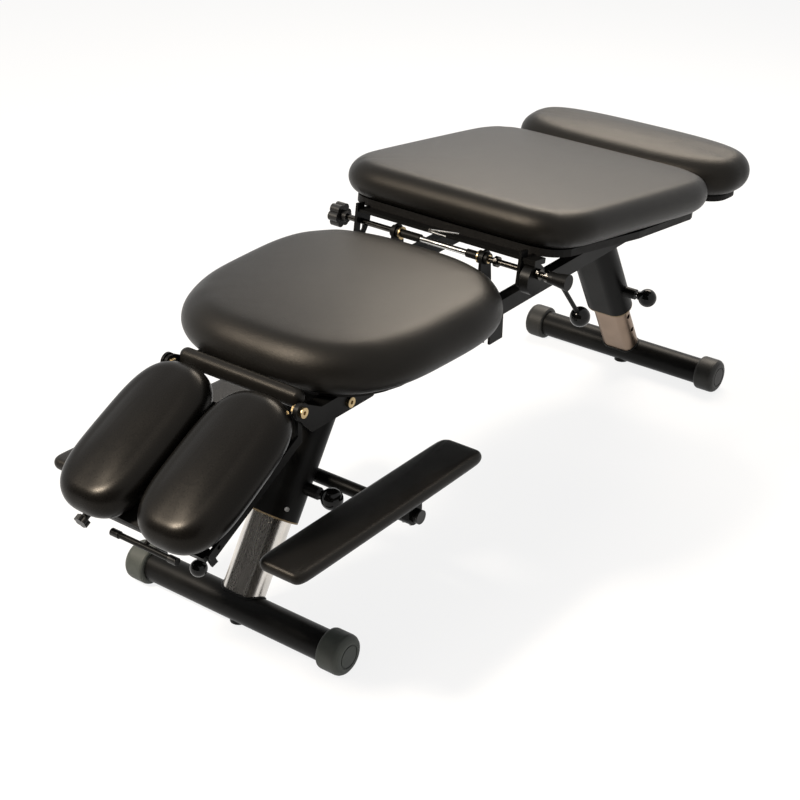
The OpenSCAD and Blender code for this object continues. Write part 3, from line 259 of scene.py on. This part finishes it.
def painted_shade_beyond(name, base, low, high, dark, fade=0.004):
    """A copy of a metal that is bright between two places along Y, in metres, and painted shade makes it dark
    beyond.
    """
    mat = mats[name] = mats[base].copy()
    mat.name = name
    tree = mat.node_tree
    principled = tree.nodes["Principled BSDF"]
    bright = principled.inputs["Base Color"].links[0].from_socket
    where, apart = tree.nodes.new("ShaderNodeTexCoord"), tree.nodes.new("ShaderNodeSeparateXYZ")
    tree.links.new(where.outputs["Object"], apart.inputs[0])
    inside = ranged(tree, apart.outputs["Y"], 0, 1, low - fade, low)
    past = ranged(tree, apart.outputs["Y"], 1, 0, high, high + fade)
    mix = tree.nodes.new("ShaderNodeMix")
    mix.data_type = "RGBA"
    mix.inputs[6].default_value = (*dark, 1)
    tree.links.new(maths(tree, "MULTIPLY", inside, past), mix.inputs[0])
    tree.links.new(bright, mix.inputs[7])
    tree.links.new(mix.outputs[2], principled.inputs["Base Color"])


BRUSH = {"along": (1, 1, 0.02), "streak": 260.0, "dirt": 0.88, "bump": 0.006, "vary": 0.02}
vinyl("leatherette", (0.0050, 0.0047, 0.0043))
# The face pads' cover is glossier than the cushions' leatherette, and its darker colour is painted shade, the
# cover being the same.
vinyl("pad_leatherette_shaded", (0.0026, 0.0024, 0.0022), 0.30, specular=0.13, relief=0.15)
coated("black_coat", (0.0032, 0.0032, 0.0031))
metal("head_leg_metal", (0.74, 0.70, 0.65), 0.26, lean=HEAD_LEAN, **BRUSH)
# The foot leg is the same steel as the head leg; its darker, browner colour is painted shade.
metal("foot_leg_metal", (0.27, 0.20, 0.15), 0.42, lean=-FOOT_LEAN, **BRUSH)
metal("bright_steel", (0.78, 0.77, 0.75), 0.18, (1, 0.1, 1), streak=500.0, dirt=0.85, bump=0.03)
metal("dull_steel", (0.40, 0.39, 0.37), 0.36)
metal("zinc_brass", (0.66, 0.50, 0.27), 0.30, streak=500.0, dirt=0.6)
metal("weld", (0.02, 0.02, 0.02), 0.42, dirt=0.8, bump=0.1)
moulded("bush_plastic", (0.20, 0.15, 0.085), 0.5)
moulded("grip_plastic", (0.003, 0.003, 0.003), 0.10, scale=300.0, bump=0.01, specular=0.2)
moulded("knob_plastic", (0.008, 0.008, 0.008), 0.38, scale=1200.0, bump=0.12)
moulded("head_cap_rubber", (0.034, 0.039, 0.035), 0.55, bump=0.2)
moulded("foot_cap_rubber", (0.009, 0.009, 0.008), 0.5, bump=0.2)
plywood("board_wood", (0.0045, 0.0042, 0.0040))
# The cross shaft is one steel all along; the dark colour beyond its middle stretch is painted shade, toward
# the knob and the brackets.
painted_shade_beyond("shaft_steel_shaded_ends", "bright_steel", -0.064, 0.047, (0.06, 0.056, 0.05))

# The few slots and nodes that look other than their slot's name says
SLOT_LOOKS = {"spring_steel": "dull_steel"}
NODE_LOOKS = {"hinge_leaf": "dull_steel", "cock_lever": "black_coat", "cam_shaft": "shaft_steel_shaded_ends"}


def smooth(data):
    for poly in data.polygons:
        poly.use_smooth = True


def shade(obj, angle=35.0):
    """Smooth where faces nearly agree, sharp elsewhere."""
    smooth(obj.data)
    bm = bmesh.new()
    bm.from_mesh(obj.data)
    for edge in bm.edges:
        edge.smooth = len(edge.link_faces) == 2 and edge.calc_face_angle(0) < radians(angle)
    bm.to_mesh(obj.data)
    bm.free()


for name, obj in nodes.items():
    slot = slots[name]
    obj.data.materials.clear()
    obj.data.materials.append(mats[NODE_LOOKS.get(name, SLOT_LOOKS.get(slot, slot))])
    shade(obj)


def placed(name, data):
    obj = bpy.data.objects.new(name, data)
    scene.collection.objects.link(obj)
    return obj


def piece(name, data, mat, body):
    obj = placed(name, data)
    data.materials.append(mats[mat])
    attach(obj, body)
    return obj


def mesh_of(name, bm):
    data = bpy.data.meshes.new(name)
    bm.to_mesh(data)
    bm.free()
    return data


def evaluated(obj):
    """A new mesh of the object as its modifiers or bevel make it."""
    bpy.context.view_layer.update()
    return bpy.data.meshes.new_from_object(obj.evaluated_get(bpy.context.evaluated_depsgraph_get()))


def wall(bm, low, high):
    """Ring of quads between two closed loops."""
    for i in range(len(low)):
        j = (i + 1) % len(low)
        bm.faces.new((low[i], low[j], high[j], high[i]))


# Cushions

UNDER_SHARES, TOP_SHARES = (0.45, 0.72, 0.9), (0.9, 0.78, 0.64, 0.5)
LEAST_EDGE, EDGE_STEP = 3.0, 7.0
COUNT, SMALL_COUNT, SMALL_L, SMALL_W = 128, 96, 100, 120
SWELL_FRAMES, SWELL_SMOOTHINGS, HELD_SHARE = 20, 24, 0.22
PLEAT_DEPTH, PLEAT_PERIOD = 0.0013, 0.024


def half_sizes(sizes, inset):
    """Half the length and half the two widths, less an inset."""
    return [sizes.length / 2 - inset, sizes.head_w / 2 - inset, sizes.foot_w / 2 - inset]


def half_width(half, bow, u):
    """Half width at a share u of the length."""
    return half[1] + (half[2] - half[1]) * u + 4 * bow * u * (1 - u)


def outline(half, bow, power, out, count):
    """Rounded outline whose points face evenly round the compass."""
    points = []
    for i in range(count):
        face = 2 * pi * (i + 0.5) / count
        acute = face % pi
        acute = pi - acute if acute > pi / 2 else acute
        t = atan((tan(acute) * half[1] / half[0]) ** (power / (2 * power - 2)))
        x = (1 if cos(face) > 0 else -1) * cos(t) ** (2 / power)
        w = half_width(half, bow, (x + 1) / 2)
        y = (1 if sin(face) > 0 else -1) * sin(t) ** (2 / power) * w
        points.append((x * half[0] + out * cos(face), y + out * sin(face)))
    return points


def fill_loop(bm, loop):
    """Grid of quads inside a closed loop of 4 m points; gives its new points."""
    m = len(loop) // 4
    first = m // 2
    ring = [loop[(first + k) % len(loop)] for k in range(4 * m)]
    grid = [[None] * (m + 1) for _ in range(m + 1)]
    for k in range(m + 1):
        grid[0][k], grid[k][m] = ring[k], ring[m + k]
        grid[m][m - k], grid[m - k][0] = ring[2 * m + k], ring[(3 * m + k) % (4 * m)]
    made = []
    for i in range(1, m):
        for j in range(1, m):
            a, b = i / m, j / m
            co = (grid[0][j].co * (1 - a) + grid[m][j].co * a + grid[i][0].co * (1 - b) + grid[i][m].co * b
                  - grid[0][0].co * (1 - a) * (1 - b) - grid[0][m].co * (1 - a) * b
                  - grid[m][0].co * a * (1 - b) - grid[m][m].co * a * b)
            grid[i][j] = bm.verts.new(co)
            made.append(grid[i][j])
    for i in range(m):
        for j in range(m):
            bm.faces.new((grid[i][j], grid[i][j + 1], grid[i + 1][j + 1], grid[i + 1][j]))
    return made


def padded_mesh(name, sizes, shrink, count):
    """Closed padded form, flat below, with a grid of quads on its top and underside."""
    bow, power, crown = sizes.bow, sizes.power, sizes.crown
    thick, edge = sizes.thick - shrink, sizes.edge - shrink / 2
    low_edge = max(sizes.low_edge - shrink / 2, LEAST_EDGE)
    small = sizes._replace(length=sizes.length - 2 * shrink, head_w=sizes.head_w - 2 * shrink,
                           foot_w=sizes.foot_w - 2 * shrink)
    half = half_sizes(small, edge)
    low_z = min(low_edge, thick - edge)
    low_turn = asin(min(1, low_z / low_edge))
    steps = max(3, int(edge / EDGE_STEP))
    rings = []

    def ring(share, out, z):
        points = outline([h * share for h in half], bow * share, power, out, count)
        rings.append([(x, y, z) for x, y in points])

    for share in UNDER_SHARES:
        ring(share, 0, 0.0)
    for k in range(steps, 0, -1):
        a = -low_turn * k / steps
        ring(1, edge - low_edge + low_edge * cos(a), low_z + low_edge * sin(a))
    if thick - edge > low_z:
        ring(1, edge, low_z)
    for k in range(steps + 1):
        a = pi / 2 * k / steps
        ring(1, edge * cos(a), thick - edge + edge * sin(a))
    for share in TOP_SHARES:
        ring(share, 0, thick + crown * (1 - share * share))

    bm = bmesh.new()
    loops = [[bm.verts.new(Vector(p) * MM) for p in points] for points in rings]
    for low, high in zip(loops, loops[1:]):
        wall(bm, low, high)
    fill_loop(bm, loops[0])
    for v in fill_loop(bm, loops[-1]):
        x, y = v.co.x / MM, v.co.y / MM
        w = half_width(half, bow, (max(-1, min(1, x / half[0])) + 1) / 2)
        share = (abs(x / half[0]) ** power + abs(y / w) ** power) ** (1 / power)
        v.co.z = (thick + crown * (1 - share * share)) * MM
    bmesh.ops.recalc_face_normals(bm, faces=bm.faces)
    return mesh_of(name, bm)


def freeze(obj):
    """Puts what the modifiers make into the mesh and removes them."""
    done = evaluated(obj)
    obj.modifiers.clear()
    obj.data = done
    return done


def inflate(obj, cap, pressure, hold):
    """Lets the cover swell under pressure, held where it is pulled over its board."""
    rest = [v.co.copy() for v in obj.data.vertices]
    group = obj.vertex_groups.new(name="held")
    for v in obj.data.vertices:
        weight = max(0.0, min(1.0, (hold - v.co.z) / (hold * 0.6)))
        if weight > 0:
            group.add([v.index], weight, "REPLACE")
    cloth = obj.modifiers.new("Cloth", "CLOTH")
    cloth.point_cache.frame_start, cloth.point_cache.frame_end = 1, SWELL_FRAMES
    s = cloth.settings
    s.quality, s.mass, s.air_damping = 6, 0.3, 3.0
    s.tension_stiffness = s.compression_stiffness = 25
    s.shear_stiffness, s.bending_stiffness = 12, 1.5
    s.use_pressure, s.uniform_pressure_force = True, pressure
    s.vertex_group_mass = "held"
    s.effector_weights.gravity = 0
    for f in range(1, SWELL_FRAMES + 1):
        scene.frame_set(f)
    data = freeze(obj)
    scene.frame_set(1)
    obj.vertex_groups.clear()
    moves = [v.co - r for v, r in zip(data.vertices, rest)]
    near = [[] for _ in moves]
    for edge in data.edges:
        a, b = edge.vertices
        near[a].append(b)
        near[b].append(a)
    for _ in range(SWELL_SMOOTHINGS):
        moves = [(m + sum((moves[k] for k in n), Vector())) / (len(n) + 1) for m, n in zip(moves, near)]
    for v, r, move in zip(data.vertices, rest, moves):
        v.co = r + move.normalized() * cap * tanh(move.length / cap)


def fit(data, sizes):
    """Stretches a cushion to its length, width and height in metres, standing on z = 0."""
    edge_line = outline(half_sizes(sizes, sizes.edge), sizes.bow, sizes.power, sizes.edge, 360)
    reach = max(y for _, y in edge_line)
    low, high = ([f(v.co[k] for v in data.vertices) for k in range(3)] for f in (min, max))
    for v in data.vertices:
        x, y, z = ((c - a) / (b - a) for c, a, b in zip(v.co, low, high))
        v.co = Vector(((x - 0.5) * sizes.length, (2 * y - 1) * reach, z * (sizes.thick + sizes.crown))) * MM


def tug(data, sizes, depth):
    """Shallow pleats low on the sides, where the cover is gathered under the corners."""
    half = (sizes.length / 2 * MM, min(sizes.head_w, sizes.foot_w) / 2 * MM)
    tall = sizes.thick * MM
    for v in data.vertices:
        x, y, z = v.co
        cornered = min(abs(x) / half[0], abs(y) / half[1])
        low = max(0.0, 1 - abs(z - tall * 0.12) / (tall * 0.3))
        amount = low * low * max(0.0, (cornered - 0.62) / 0.38)
        if amount > 0:
            out = Vector((x, y, 0)).normalized()
            across = x * (1 if y > 0 else -1) - y * (1 if x > 0 else -1)
            wave = sin(across / PLEAT_PERIOD * 2 * pi + 2 * noise.noise(v.co * 20))
            v.co -= out * depth * amount * (0.5 + 0.5 * wave)


def soften(obj):
    sub = obj.modifiers.new("Subdivision", "SUBSURF")
    sub.levels = sub.render_levels = 1


def cushion(name, node, body, place, sizes, shrink=3.0, cap=5.0, pressure=4.0, fill=0.85,
            pleat=PLEAT_DEPTH, mat="leatherette"):
    """A padded piece that starts smaller by shrink all round and swells by up to cap, both in mm."""
    small = sizes.length < SMALL_L or sizes.head_w < SMALL_W
    obj = placed(name, padded_mesh(name, sizes, shrink, SMALL_COUNT if small else COUNT))
    inflate(obj, cap * MM, pressure, sizes.thick * HELD_SHARE * MM)
    soften(obj)
    data = freeze(obj)
    fit(data, sizes)
    if pleat:
        tug(data, sizes, pleat)
    data.transform(place)
    data.materials.clear()
    data.materials.append(mats[mat])
    smooth(data)
    soften(obj)
    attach(obj, body)
    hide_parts(node)


FIRM = {"pressure": 3.0, "fill": 0.9, "pleat": 0.0}
cushion("thoracic_upholstery", "thoracic_cushion", "frame",
        at(THORACIC_X + THORACIC.length / 2, 0, RAIL_TOP + BOARD_T), THORACIC)
cushion("pelvic_upholstery", "pelvic_cushion", "pelvic_section",
        AT_HINGE @ shift(PELVIC_MID_X, 0, PELVIC_UP), PELVIC)
cushion("bolster_upholstery", "foot_bolster", "frame",
        at(BOLSTER_X + BOLSTER_L / 2, 0, RAIL_TOP + RISER_H + BOARD_T), BOLSTER)
FACE_Y = (FACE_GAP + (FACE.head_w + FACE.foot_w) / 2) / 2
SPLAY = atan((FACE.foot_w - FACE.head_w) / 2 / FACE_L)
for word, (side, arm) in ARMS.items():
    cushion(word + "_face_upholstery", word + "_face_pad", "face_rest",
            AT_PIVOT @ shift(-FACE_L / 2, side * FACE_Y, FACE_UP - FACE_T / 2) @ turn(side * SPLAY, "Z"),
            FACE, shrink=2.0, cap=3.0, mat="pad_leatherette_shaded")
    cushion(word + "_armrest_upholstery", word + "_armrest", word + "_arm",
            arm @ shift(ARM_MID_X - ARM_BAR_X, 0, ARM_SEAT_Z - ARM_BAR_Z), ARM,
            shrink=1.2, cap=1.8, **FIRM)
cushion("neck_roll_upholstery", "neck_roll", "frame", at(ROLL_X + ROLL.length / 2, 0, RAIL_TOP),
        ROLL, shrink=1.0, cap=1.5, **FIRM)


# Small details

def bar_mesh(name, points, width, fineness, radii=None):
    """Mesh of a round bar through points in metres, closed to a ring where it has radii."""
    curve = bpy.data.curves.new(name, "CURVE")
    curve.dimensions = "3D"
    curve.bevel_depth, curve.bevel_resolution = width / 2, fineness
    curve.use_fill_caps = True
    spline = curve.splines.new("POLY")
    spline.points.add(len(points) - 1)
    for p, co, r in zip(spline.points, points, radii or [1] * len(points)):
        p.co, p.radius = (*co, 1), r
    spline.use_cyclic_u = bool(radii)
    obj = placed(name + "_path", curve)
    data = evaluated(obj)
    bpy.data.objects.remove(obj)
    smooth(data)
    return data


def bead(name, points, width, body, puddle=0.0016):
    """Weld bead through closed points, swelling a little at each puddle."""
    dense = []
    for p, q in zip(points, points[1:] + points[:1]):
        steps = max(1, int((q - p).length / puddle))
        dense += [p.lerp(q, k / steps) for k in range(steps)]
    radii = [1 + 0.22 * abs(sin(i * 0.8)) + 0.25 * noise.noise(p * 60) for i, p in enumerate(dense)]
    piece(name, bar_mesh(name, dense, width, 2, radii), "weld", body)


def oval_ring(width, depth, count=64):
    """Points round an oval tube that is wide along y."""
    r, s = depth / 2, (width - depth) / 2
    angles = [2 * pi * (i + 0.5) / count for i in range(count)]
    return [(r * cos(a), r * sin(a) + (s if sin(a) > 0 else -s)) for a in angles]


LEG_WELD, SLEEVE_WELD, WELD_LIFT, WELD_SINK = (91, 46), (113, 69), 0.5, 1
for word, leg in (("head", HEAD_LEG), ("foot", FOOT_LEG)):
    weld_r = FLOOR_TUBE_R + WELD_LIFT
    low = [leg @ (Vector((x, y, sqrt(max(0, weld_r ** 2 - x * x)))) * MM) for x, y in oval_ring(*LEG_WELD)]
    bead(word + "_leg_weld", low, 0.0045, word + "_leg")
    top = []
    for x, y in oval_ring(*SLEEVE_WELD):
        z = (RAIL_BOTTOM * MM - leg[2][3] - leg[2][0] * x * MM) / (leg[2][2] * MM)
        top.append(leg @ (Vector((x, y, z - WELD_SINK)) * MM))
    bead(word + "_sleeve_weld", top, 0.005, "frame")


def heads(name, spots, body, d, h, socket=0.42, deep=0.5, sides=24):
    """Socket screw heads of width d and height h, one at each place, facing along its direction."""
    bm = bmesh.new()
    r = d / 2
    profile = [(r, 0), (r, h * 0.8), (r * 0.93, h), (r * socket * 1.12, h), (r * socket, h * 0.97),
               (r * socket * 0.98, h * deep), (r * 0.03, h * deep)]
    hexagonal = (3, 4, 5)
    for place, facing in spots:
        spin = facing.normalized().to_track_quat("Z", "Y").to_matrix().to_4x4()
        matrix = Matrix.Translation(place) @ spin
        rings = []
        for k, (radius, z) in enumerate(profile):
            ring = []
            for i in range(sides):
                a = 2 * pi * i / sides
                six = cos(pi / 6) / cos((a + pi / 6) % (pi / 3) - pi / 6) if k in hexagonal else 1
                point = Vector((radius * six * cos(a), radius * six * sin(a), z)) * MM
                ring.append(bm.verts.new(matrix @ point))
            rings.append(ring)
        for low, high in zip(rings, rings[1:]):
            wall(bm, low, high)
        bm.faces.new(rings[-1])
        bm.faces.new(list(reversed(rings[0])))
    shade(piece(name, mesh_of(name, bm), "dull_steel", body), 30)


def spots_at(matrix, xs, ys, z, facing):
    """Places at each x and each y, in mm, with the direction that the heads face."""
    return [(matrix @ (Vector((x, y, z)) * MM), matrix.to_3x3() @ Vector(facing)) for x in xs for y in ys]


def around(middle, reach):
    return [middle - reach, middle + reach]


UPWARD, DOWNWARD = (0, 0, 1), (0, 0, -1)
BRACKET_Y, BRACKET_FOOT_T, BRACKET_BOLT = 116, 4, 13
HINGE_Y, HINGE_FOOT_T, HINGE_BOLT, LEAF_X, LEAF_Z, LEAF_SCREW = 60, 3, 14, (-50, -28), 8.5, 13
COLLAR_R, COLLARS_Y = 7.2, (-133, -228, -248)
SOCKET_SCREW, SOCKET_SCREW_FACING = (-24.6, -45.4, 198.9), (-0.724, -0.69, 0)
CLAMP_SCREW_Y, CLAMP_SCREW_Z = 8, -19.3
leaf_y = around(-HINGE_Y, LEAF_SCREW) + around(HINGE_Y, LEAF_SCREW)

heads("bearing_bolts",
      spots_at(TABLE, around(SHAFT_X, BRACKET_BOLT), around(0, BRACKET_Y), RAIL_TOP + BRACKET_FOOT_T, UPWARD),
      "frame", d=9, h=4.5)
heads("hinge_bolts",
      spots_at(TABLE, around(HINGE_X, HINGE_BOLT), around(0, HINGE_Y), RAIL_TOP + HINGE_FOOT_T, UPWARD),
      "frame", d=7, h=1.6)
heads("hinge_leaf_screws", spots_at(AT_HINGE, LEAF_X, leaf_y, LEAF_Z, DOWNWARD),
      "pelvic_section", d=7, h=2)
heads("collar_screws",
      spots_at(TABLE, [SHAFT_X - COLLAR_R], COLLARS_Y, SHAFT_Z + COLLAR_R, (-1, 0, 1)),
      "cross_shaft", d=4, h=0.8, socket=0.6)
x, y, z = SOCKET_SCREW
heads("sleeve_screw", spots_at(HEAD_LEG, [x], [y], z, SOCKET_SCREW_FACING), "frame", d=9, h=2)
HOOK_Y, HOOK = -150, ((522, RAIL_BOTTOM), (523, 430), (526, 422), (534, 417), (548, 411))
hook = bar_mesh("stop_hook", [TABLE @ (Vector((x, HOOK_Y, z)) * MM) for x, z in HOOK], 0.0035, 3)
piece("stop_hook", hook, "black_coat", "frame")
for word, (_, arm) in ARMS.items():
    heads(word + "_clamp_screw", spots_at(arm, [0], around(0, CLAMP_SCREW_Y), CLAMP_SCREW_Z, DOWNWARD),
          word + "_arm", d=8, h=4)


STAPLE_L, STAPLE_W, STAPLE_LOW, STAPLE_HIGH = 9.6, 0.8, -0.5, 0.3
RAIL_IN, RAIL_OUT, BASE_OUT, FRAME_X, PELVIC_BOARD_Z = 118, 157, 125, -215, 12.5


def staples(name, matrix, sizes, body, skip, inset, pitch=24):
    """Row of staples that hold the cover on the underside of its board, but not where skip says."""
    points = [Vector(p) for p in outline(half_sizes(sizes, inset), sizes.bow, sizes.power, 0, 360)]
    bm = bmesh.new()
    run, last = 0.0, points[0]
    for p, q in zip(points, points[1:] + points[:1]):
        run += (p - last).length
        last = p
        if run < pitch:
            continue
        run = 0.0
        if skip(p.x, p.y):
            continue
        along = (q - p).normalized()
        slant = 0.5 + 0.3 * noise.noise(Vector((p.x, p.y, 0)) * 0.05)
        d = Vector((along.x * cos(slant) - along.y * sin(slant),
                    along.x * sin(slant) + along.y * cos(slant)))
        n = Vector((-d.y, d.x))
        corners = [p + d * a * STAPLE_L / 2 + n * b * STAPLE_W / 2
                   for a, b in ((-1, -1), (1, -1), (1, 1), (-1, 1))]
        low, high = ([bm.verts.new(matrix @ (Vector((c.x, c.y, z)) * MM)) for c in corners]
                     for z in (STAPLE_LOW, STAPLE_HIGH))
        bm.faces.new(list(reversed(low)))
        bm.faces.new(high)
        wall(bm, low, high)
    piece(name, mesh_of(name, bm), "bright_steel", body)


def over_rail(x, y):
    return RAIL_IN < abs(y) < RAIL_OUT


staples("thoracic_staples", at(THORACIC_X + THORACIC.length / 2, 0, RAIL_TOP), THORACIC, "frame",
        lambda x, y: over_rail(x, y) or abs(y) < BASE_OUT, inset=50)
staples("pelvic_staples", AT_HINGE @ shift(PELVIC_MID_X, 0, PELVIC_BOARD_Z), PELVIC, "pelvic_section",
        lambda x, y: x < FRAME_X or over_rail(x, y), inset=38)
staples("bolster_staples", at(BOLSTER_X + BOLSTER_L / 2, 0, RAIL_TOP + RISER_H), BOLSTER, "frame",
        over_rail, inset=42)


# Floor, backdrop and lights, in metres

FLOOR_HALF, FLOOR_GLOW, WORLD_LIGHT = 40, 0.84, 0.5
FLAG_X, FLAG_Y, FLAG_LOW, FLAG_HIGH = -4.2, 4.6, -0.5, 4.2


def card(name, corners, mat):
    data = bpy.data.meshes.new(name)
    data.from_pydata(corners, [], [(0, 1, 2, 3)])
    data.materials.append(mat)
    obj = placed(name, data)
    return obj


def mixed(tree, share, first, second, end):
    """Mixes two shaders by a share and gives the mix to the output node."""
    mix = tree.nodes.new("ShaderNodeMixShader")
    tree.links.new(share, mix.inputs["Fac"])
    tree.links.new(first.outputs[0], mix.inputs[1])
    tree.links.new(second.outputs[0], mix.inputs[2])
    tree.links.new(mix.outputs[0], tree.nodes[end].inputs["Surface"])


def stage_floor():
    """White floor that glows a little to the camera and in reflections."""
    mat, tree, p = shader("floor", (0.9, 0.9, 0.9), 0.9, specular=0.0)
    glow = tree.nodes.new("ShaderNodeEmission")
    glow.inputs["Color"].default_value = (1, 1, 1, 1)
    glow.inputs["Strength"].default_value = 1.0
    path = tree.nodes.new("ShaderNodeLightPath")
    both = maths(tree, "MAXIMUM", path.outputs["Is Camera Ray"], path.outputs["Is Glossy Ray"])
    mixed(tree, maths(tree, "MULTIPLY", both, FLOOR_GLOW), p, glow, "Material Output")
    h = FLOOR_HALF
    card("floor", [(-h, -h, 0), (h, -h, 0), (h, h, 0), (-h, h, 0)], mat)


def sky():
    """Plain light all round, white to the camera and in reflections."""
    world = bpy.data.worlds.new("studio")
    scene.world = world
    world.use_nodes = True
    tree = world.node_tree
    light = tree.nodes["Background"]
    light.inputs["Color"].default_value = (1, 0.98, 0.95, 1)
    light.inputs["Strength"].default_value = WORLD_LIGHT
    white = tree.nodes.new("ShaderNodeBackground")
    white.inputs["Color"].default_value = (1, 1, 1, 1)
    white.inputs["Strength"].default_value = 1.0
    path = tree.nodes.new("ShaderNodeLightPath")
    seen = path.outputs["Is Camera Ray"]
    for name in ("Is Glossy Ray", "Is Transmission Ray"):
        seen = maths(tree, "MAXIMUM", seen, path.outputs[name])
    mixed(tree, seen, light, white, "World Output")


def flag():
    """Dark card past the head end, which only reflections see."""
    mat = shader("flag", (0.02, 0.02, 0.02), 0.9, specular=0.0)[0]
    obj = card("flag", [(FLAG_X, -FLAG_Y, FLAG_LOW), (FLAG_X, FLAG_Y, FLAG_LOW),
                        (FLAG_X, FLAG_Y, FLAG_HIGH), (FLAG_X, -FLAG_Y, FLAG_HIGH)], mat)
    obj.visible_camera = obj.visible_diffuse = obj.visible_shadow = obj.visible_transmission = False


def lamp(name, direction, size, power, target, distance=3.0, colour=(1, 0.89, 0.75)):
    data = bpy.data.lights.new(name, "AREA")
    data.shape, data.size, data.size_y = "RECTANGLE", size[0], size[1]
    data.energy, data.color = power, colour
    obj = placed(name, data)
    d = Vector(direction).normalized()
    obj.location = Vector(target) + d * distance
    obj.rotation_euler = (-d).to_track_quat("-Z", "Y").to_euler()


stage_floor()
sky()
flag()
lamp("key", (0.72, 0.22, 0.66), (1.9, 1.6), 104, (0, 0, 0.5))
lamp("pads", (-0.585, 0.36, 0.727), (0.45, 0.45), 200, (-0.75, 0, 0.45))


# Camera, as worked out from the photograph

AZIMUTH, ELEVATION, ROLL_ANGLE = radians(-53.69), radians(27.77), radians(1.17)
AIM = (350.54, -99.55, 350)
DISTANCE, FOCAL_PIXELS, PICTURE_PIXELS, SENSOR = 3.18817, 1712.39, 800, 36


def place_camera():
    back = Vector((sin(AZIMUTH) * cos(ELEVATION), -cos(AZIMUTH) * cos(ELEVATION), sin(ELEVATION)))
    level = (-back).cross(Vector((0, 0, 1))).normalized()
    upright = level.cross(-back)
    right = level * cos(ROLL_ANGLE) + upright * sin(ROLL_ANGLE)
    up = upright * cos(ROLL_ANGLE) - level * sin(ROLL_ANGLE)
    spot = TABLE @ (Vector(AIM) * MM) + back * DISTANCE
    data = bpy.data.cameras.new("camera")
    data.sensor_width, data.lens = SENSOR, FOCAL_PIXELS / PICTURE_PIXELS * SENSOR
    camera = placed("camera", data)
    camera.matrix_world = Matrix((
        (right.x, up.x, back.x, spot.x), (right.y, up.y, back.y, spot.y),
        (right.z, up.z, back.z, spot.z), (0, 0, 0, 1)))
    scene.camera = camera


place_camera()
scene.view_settings.view_transform = "Standard"
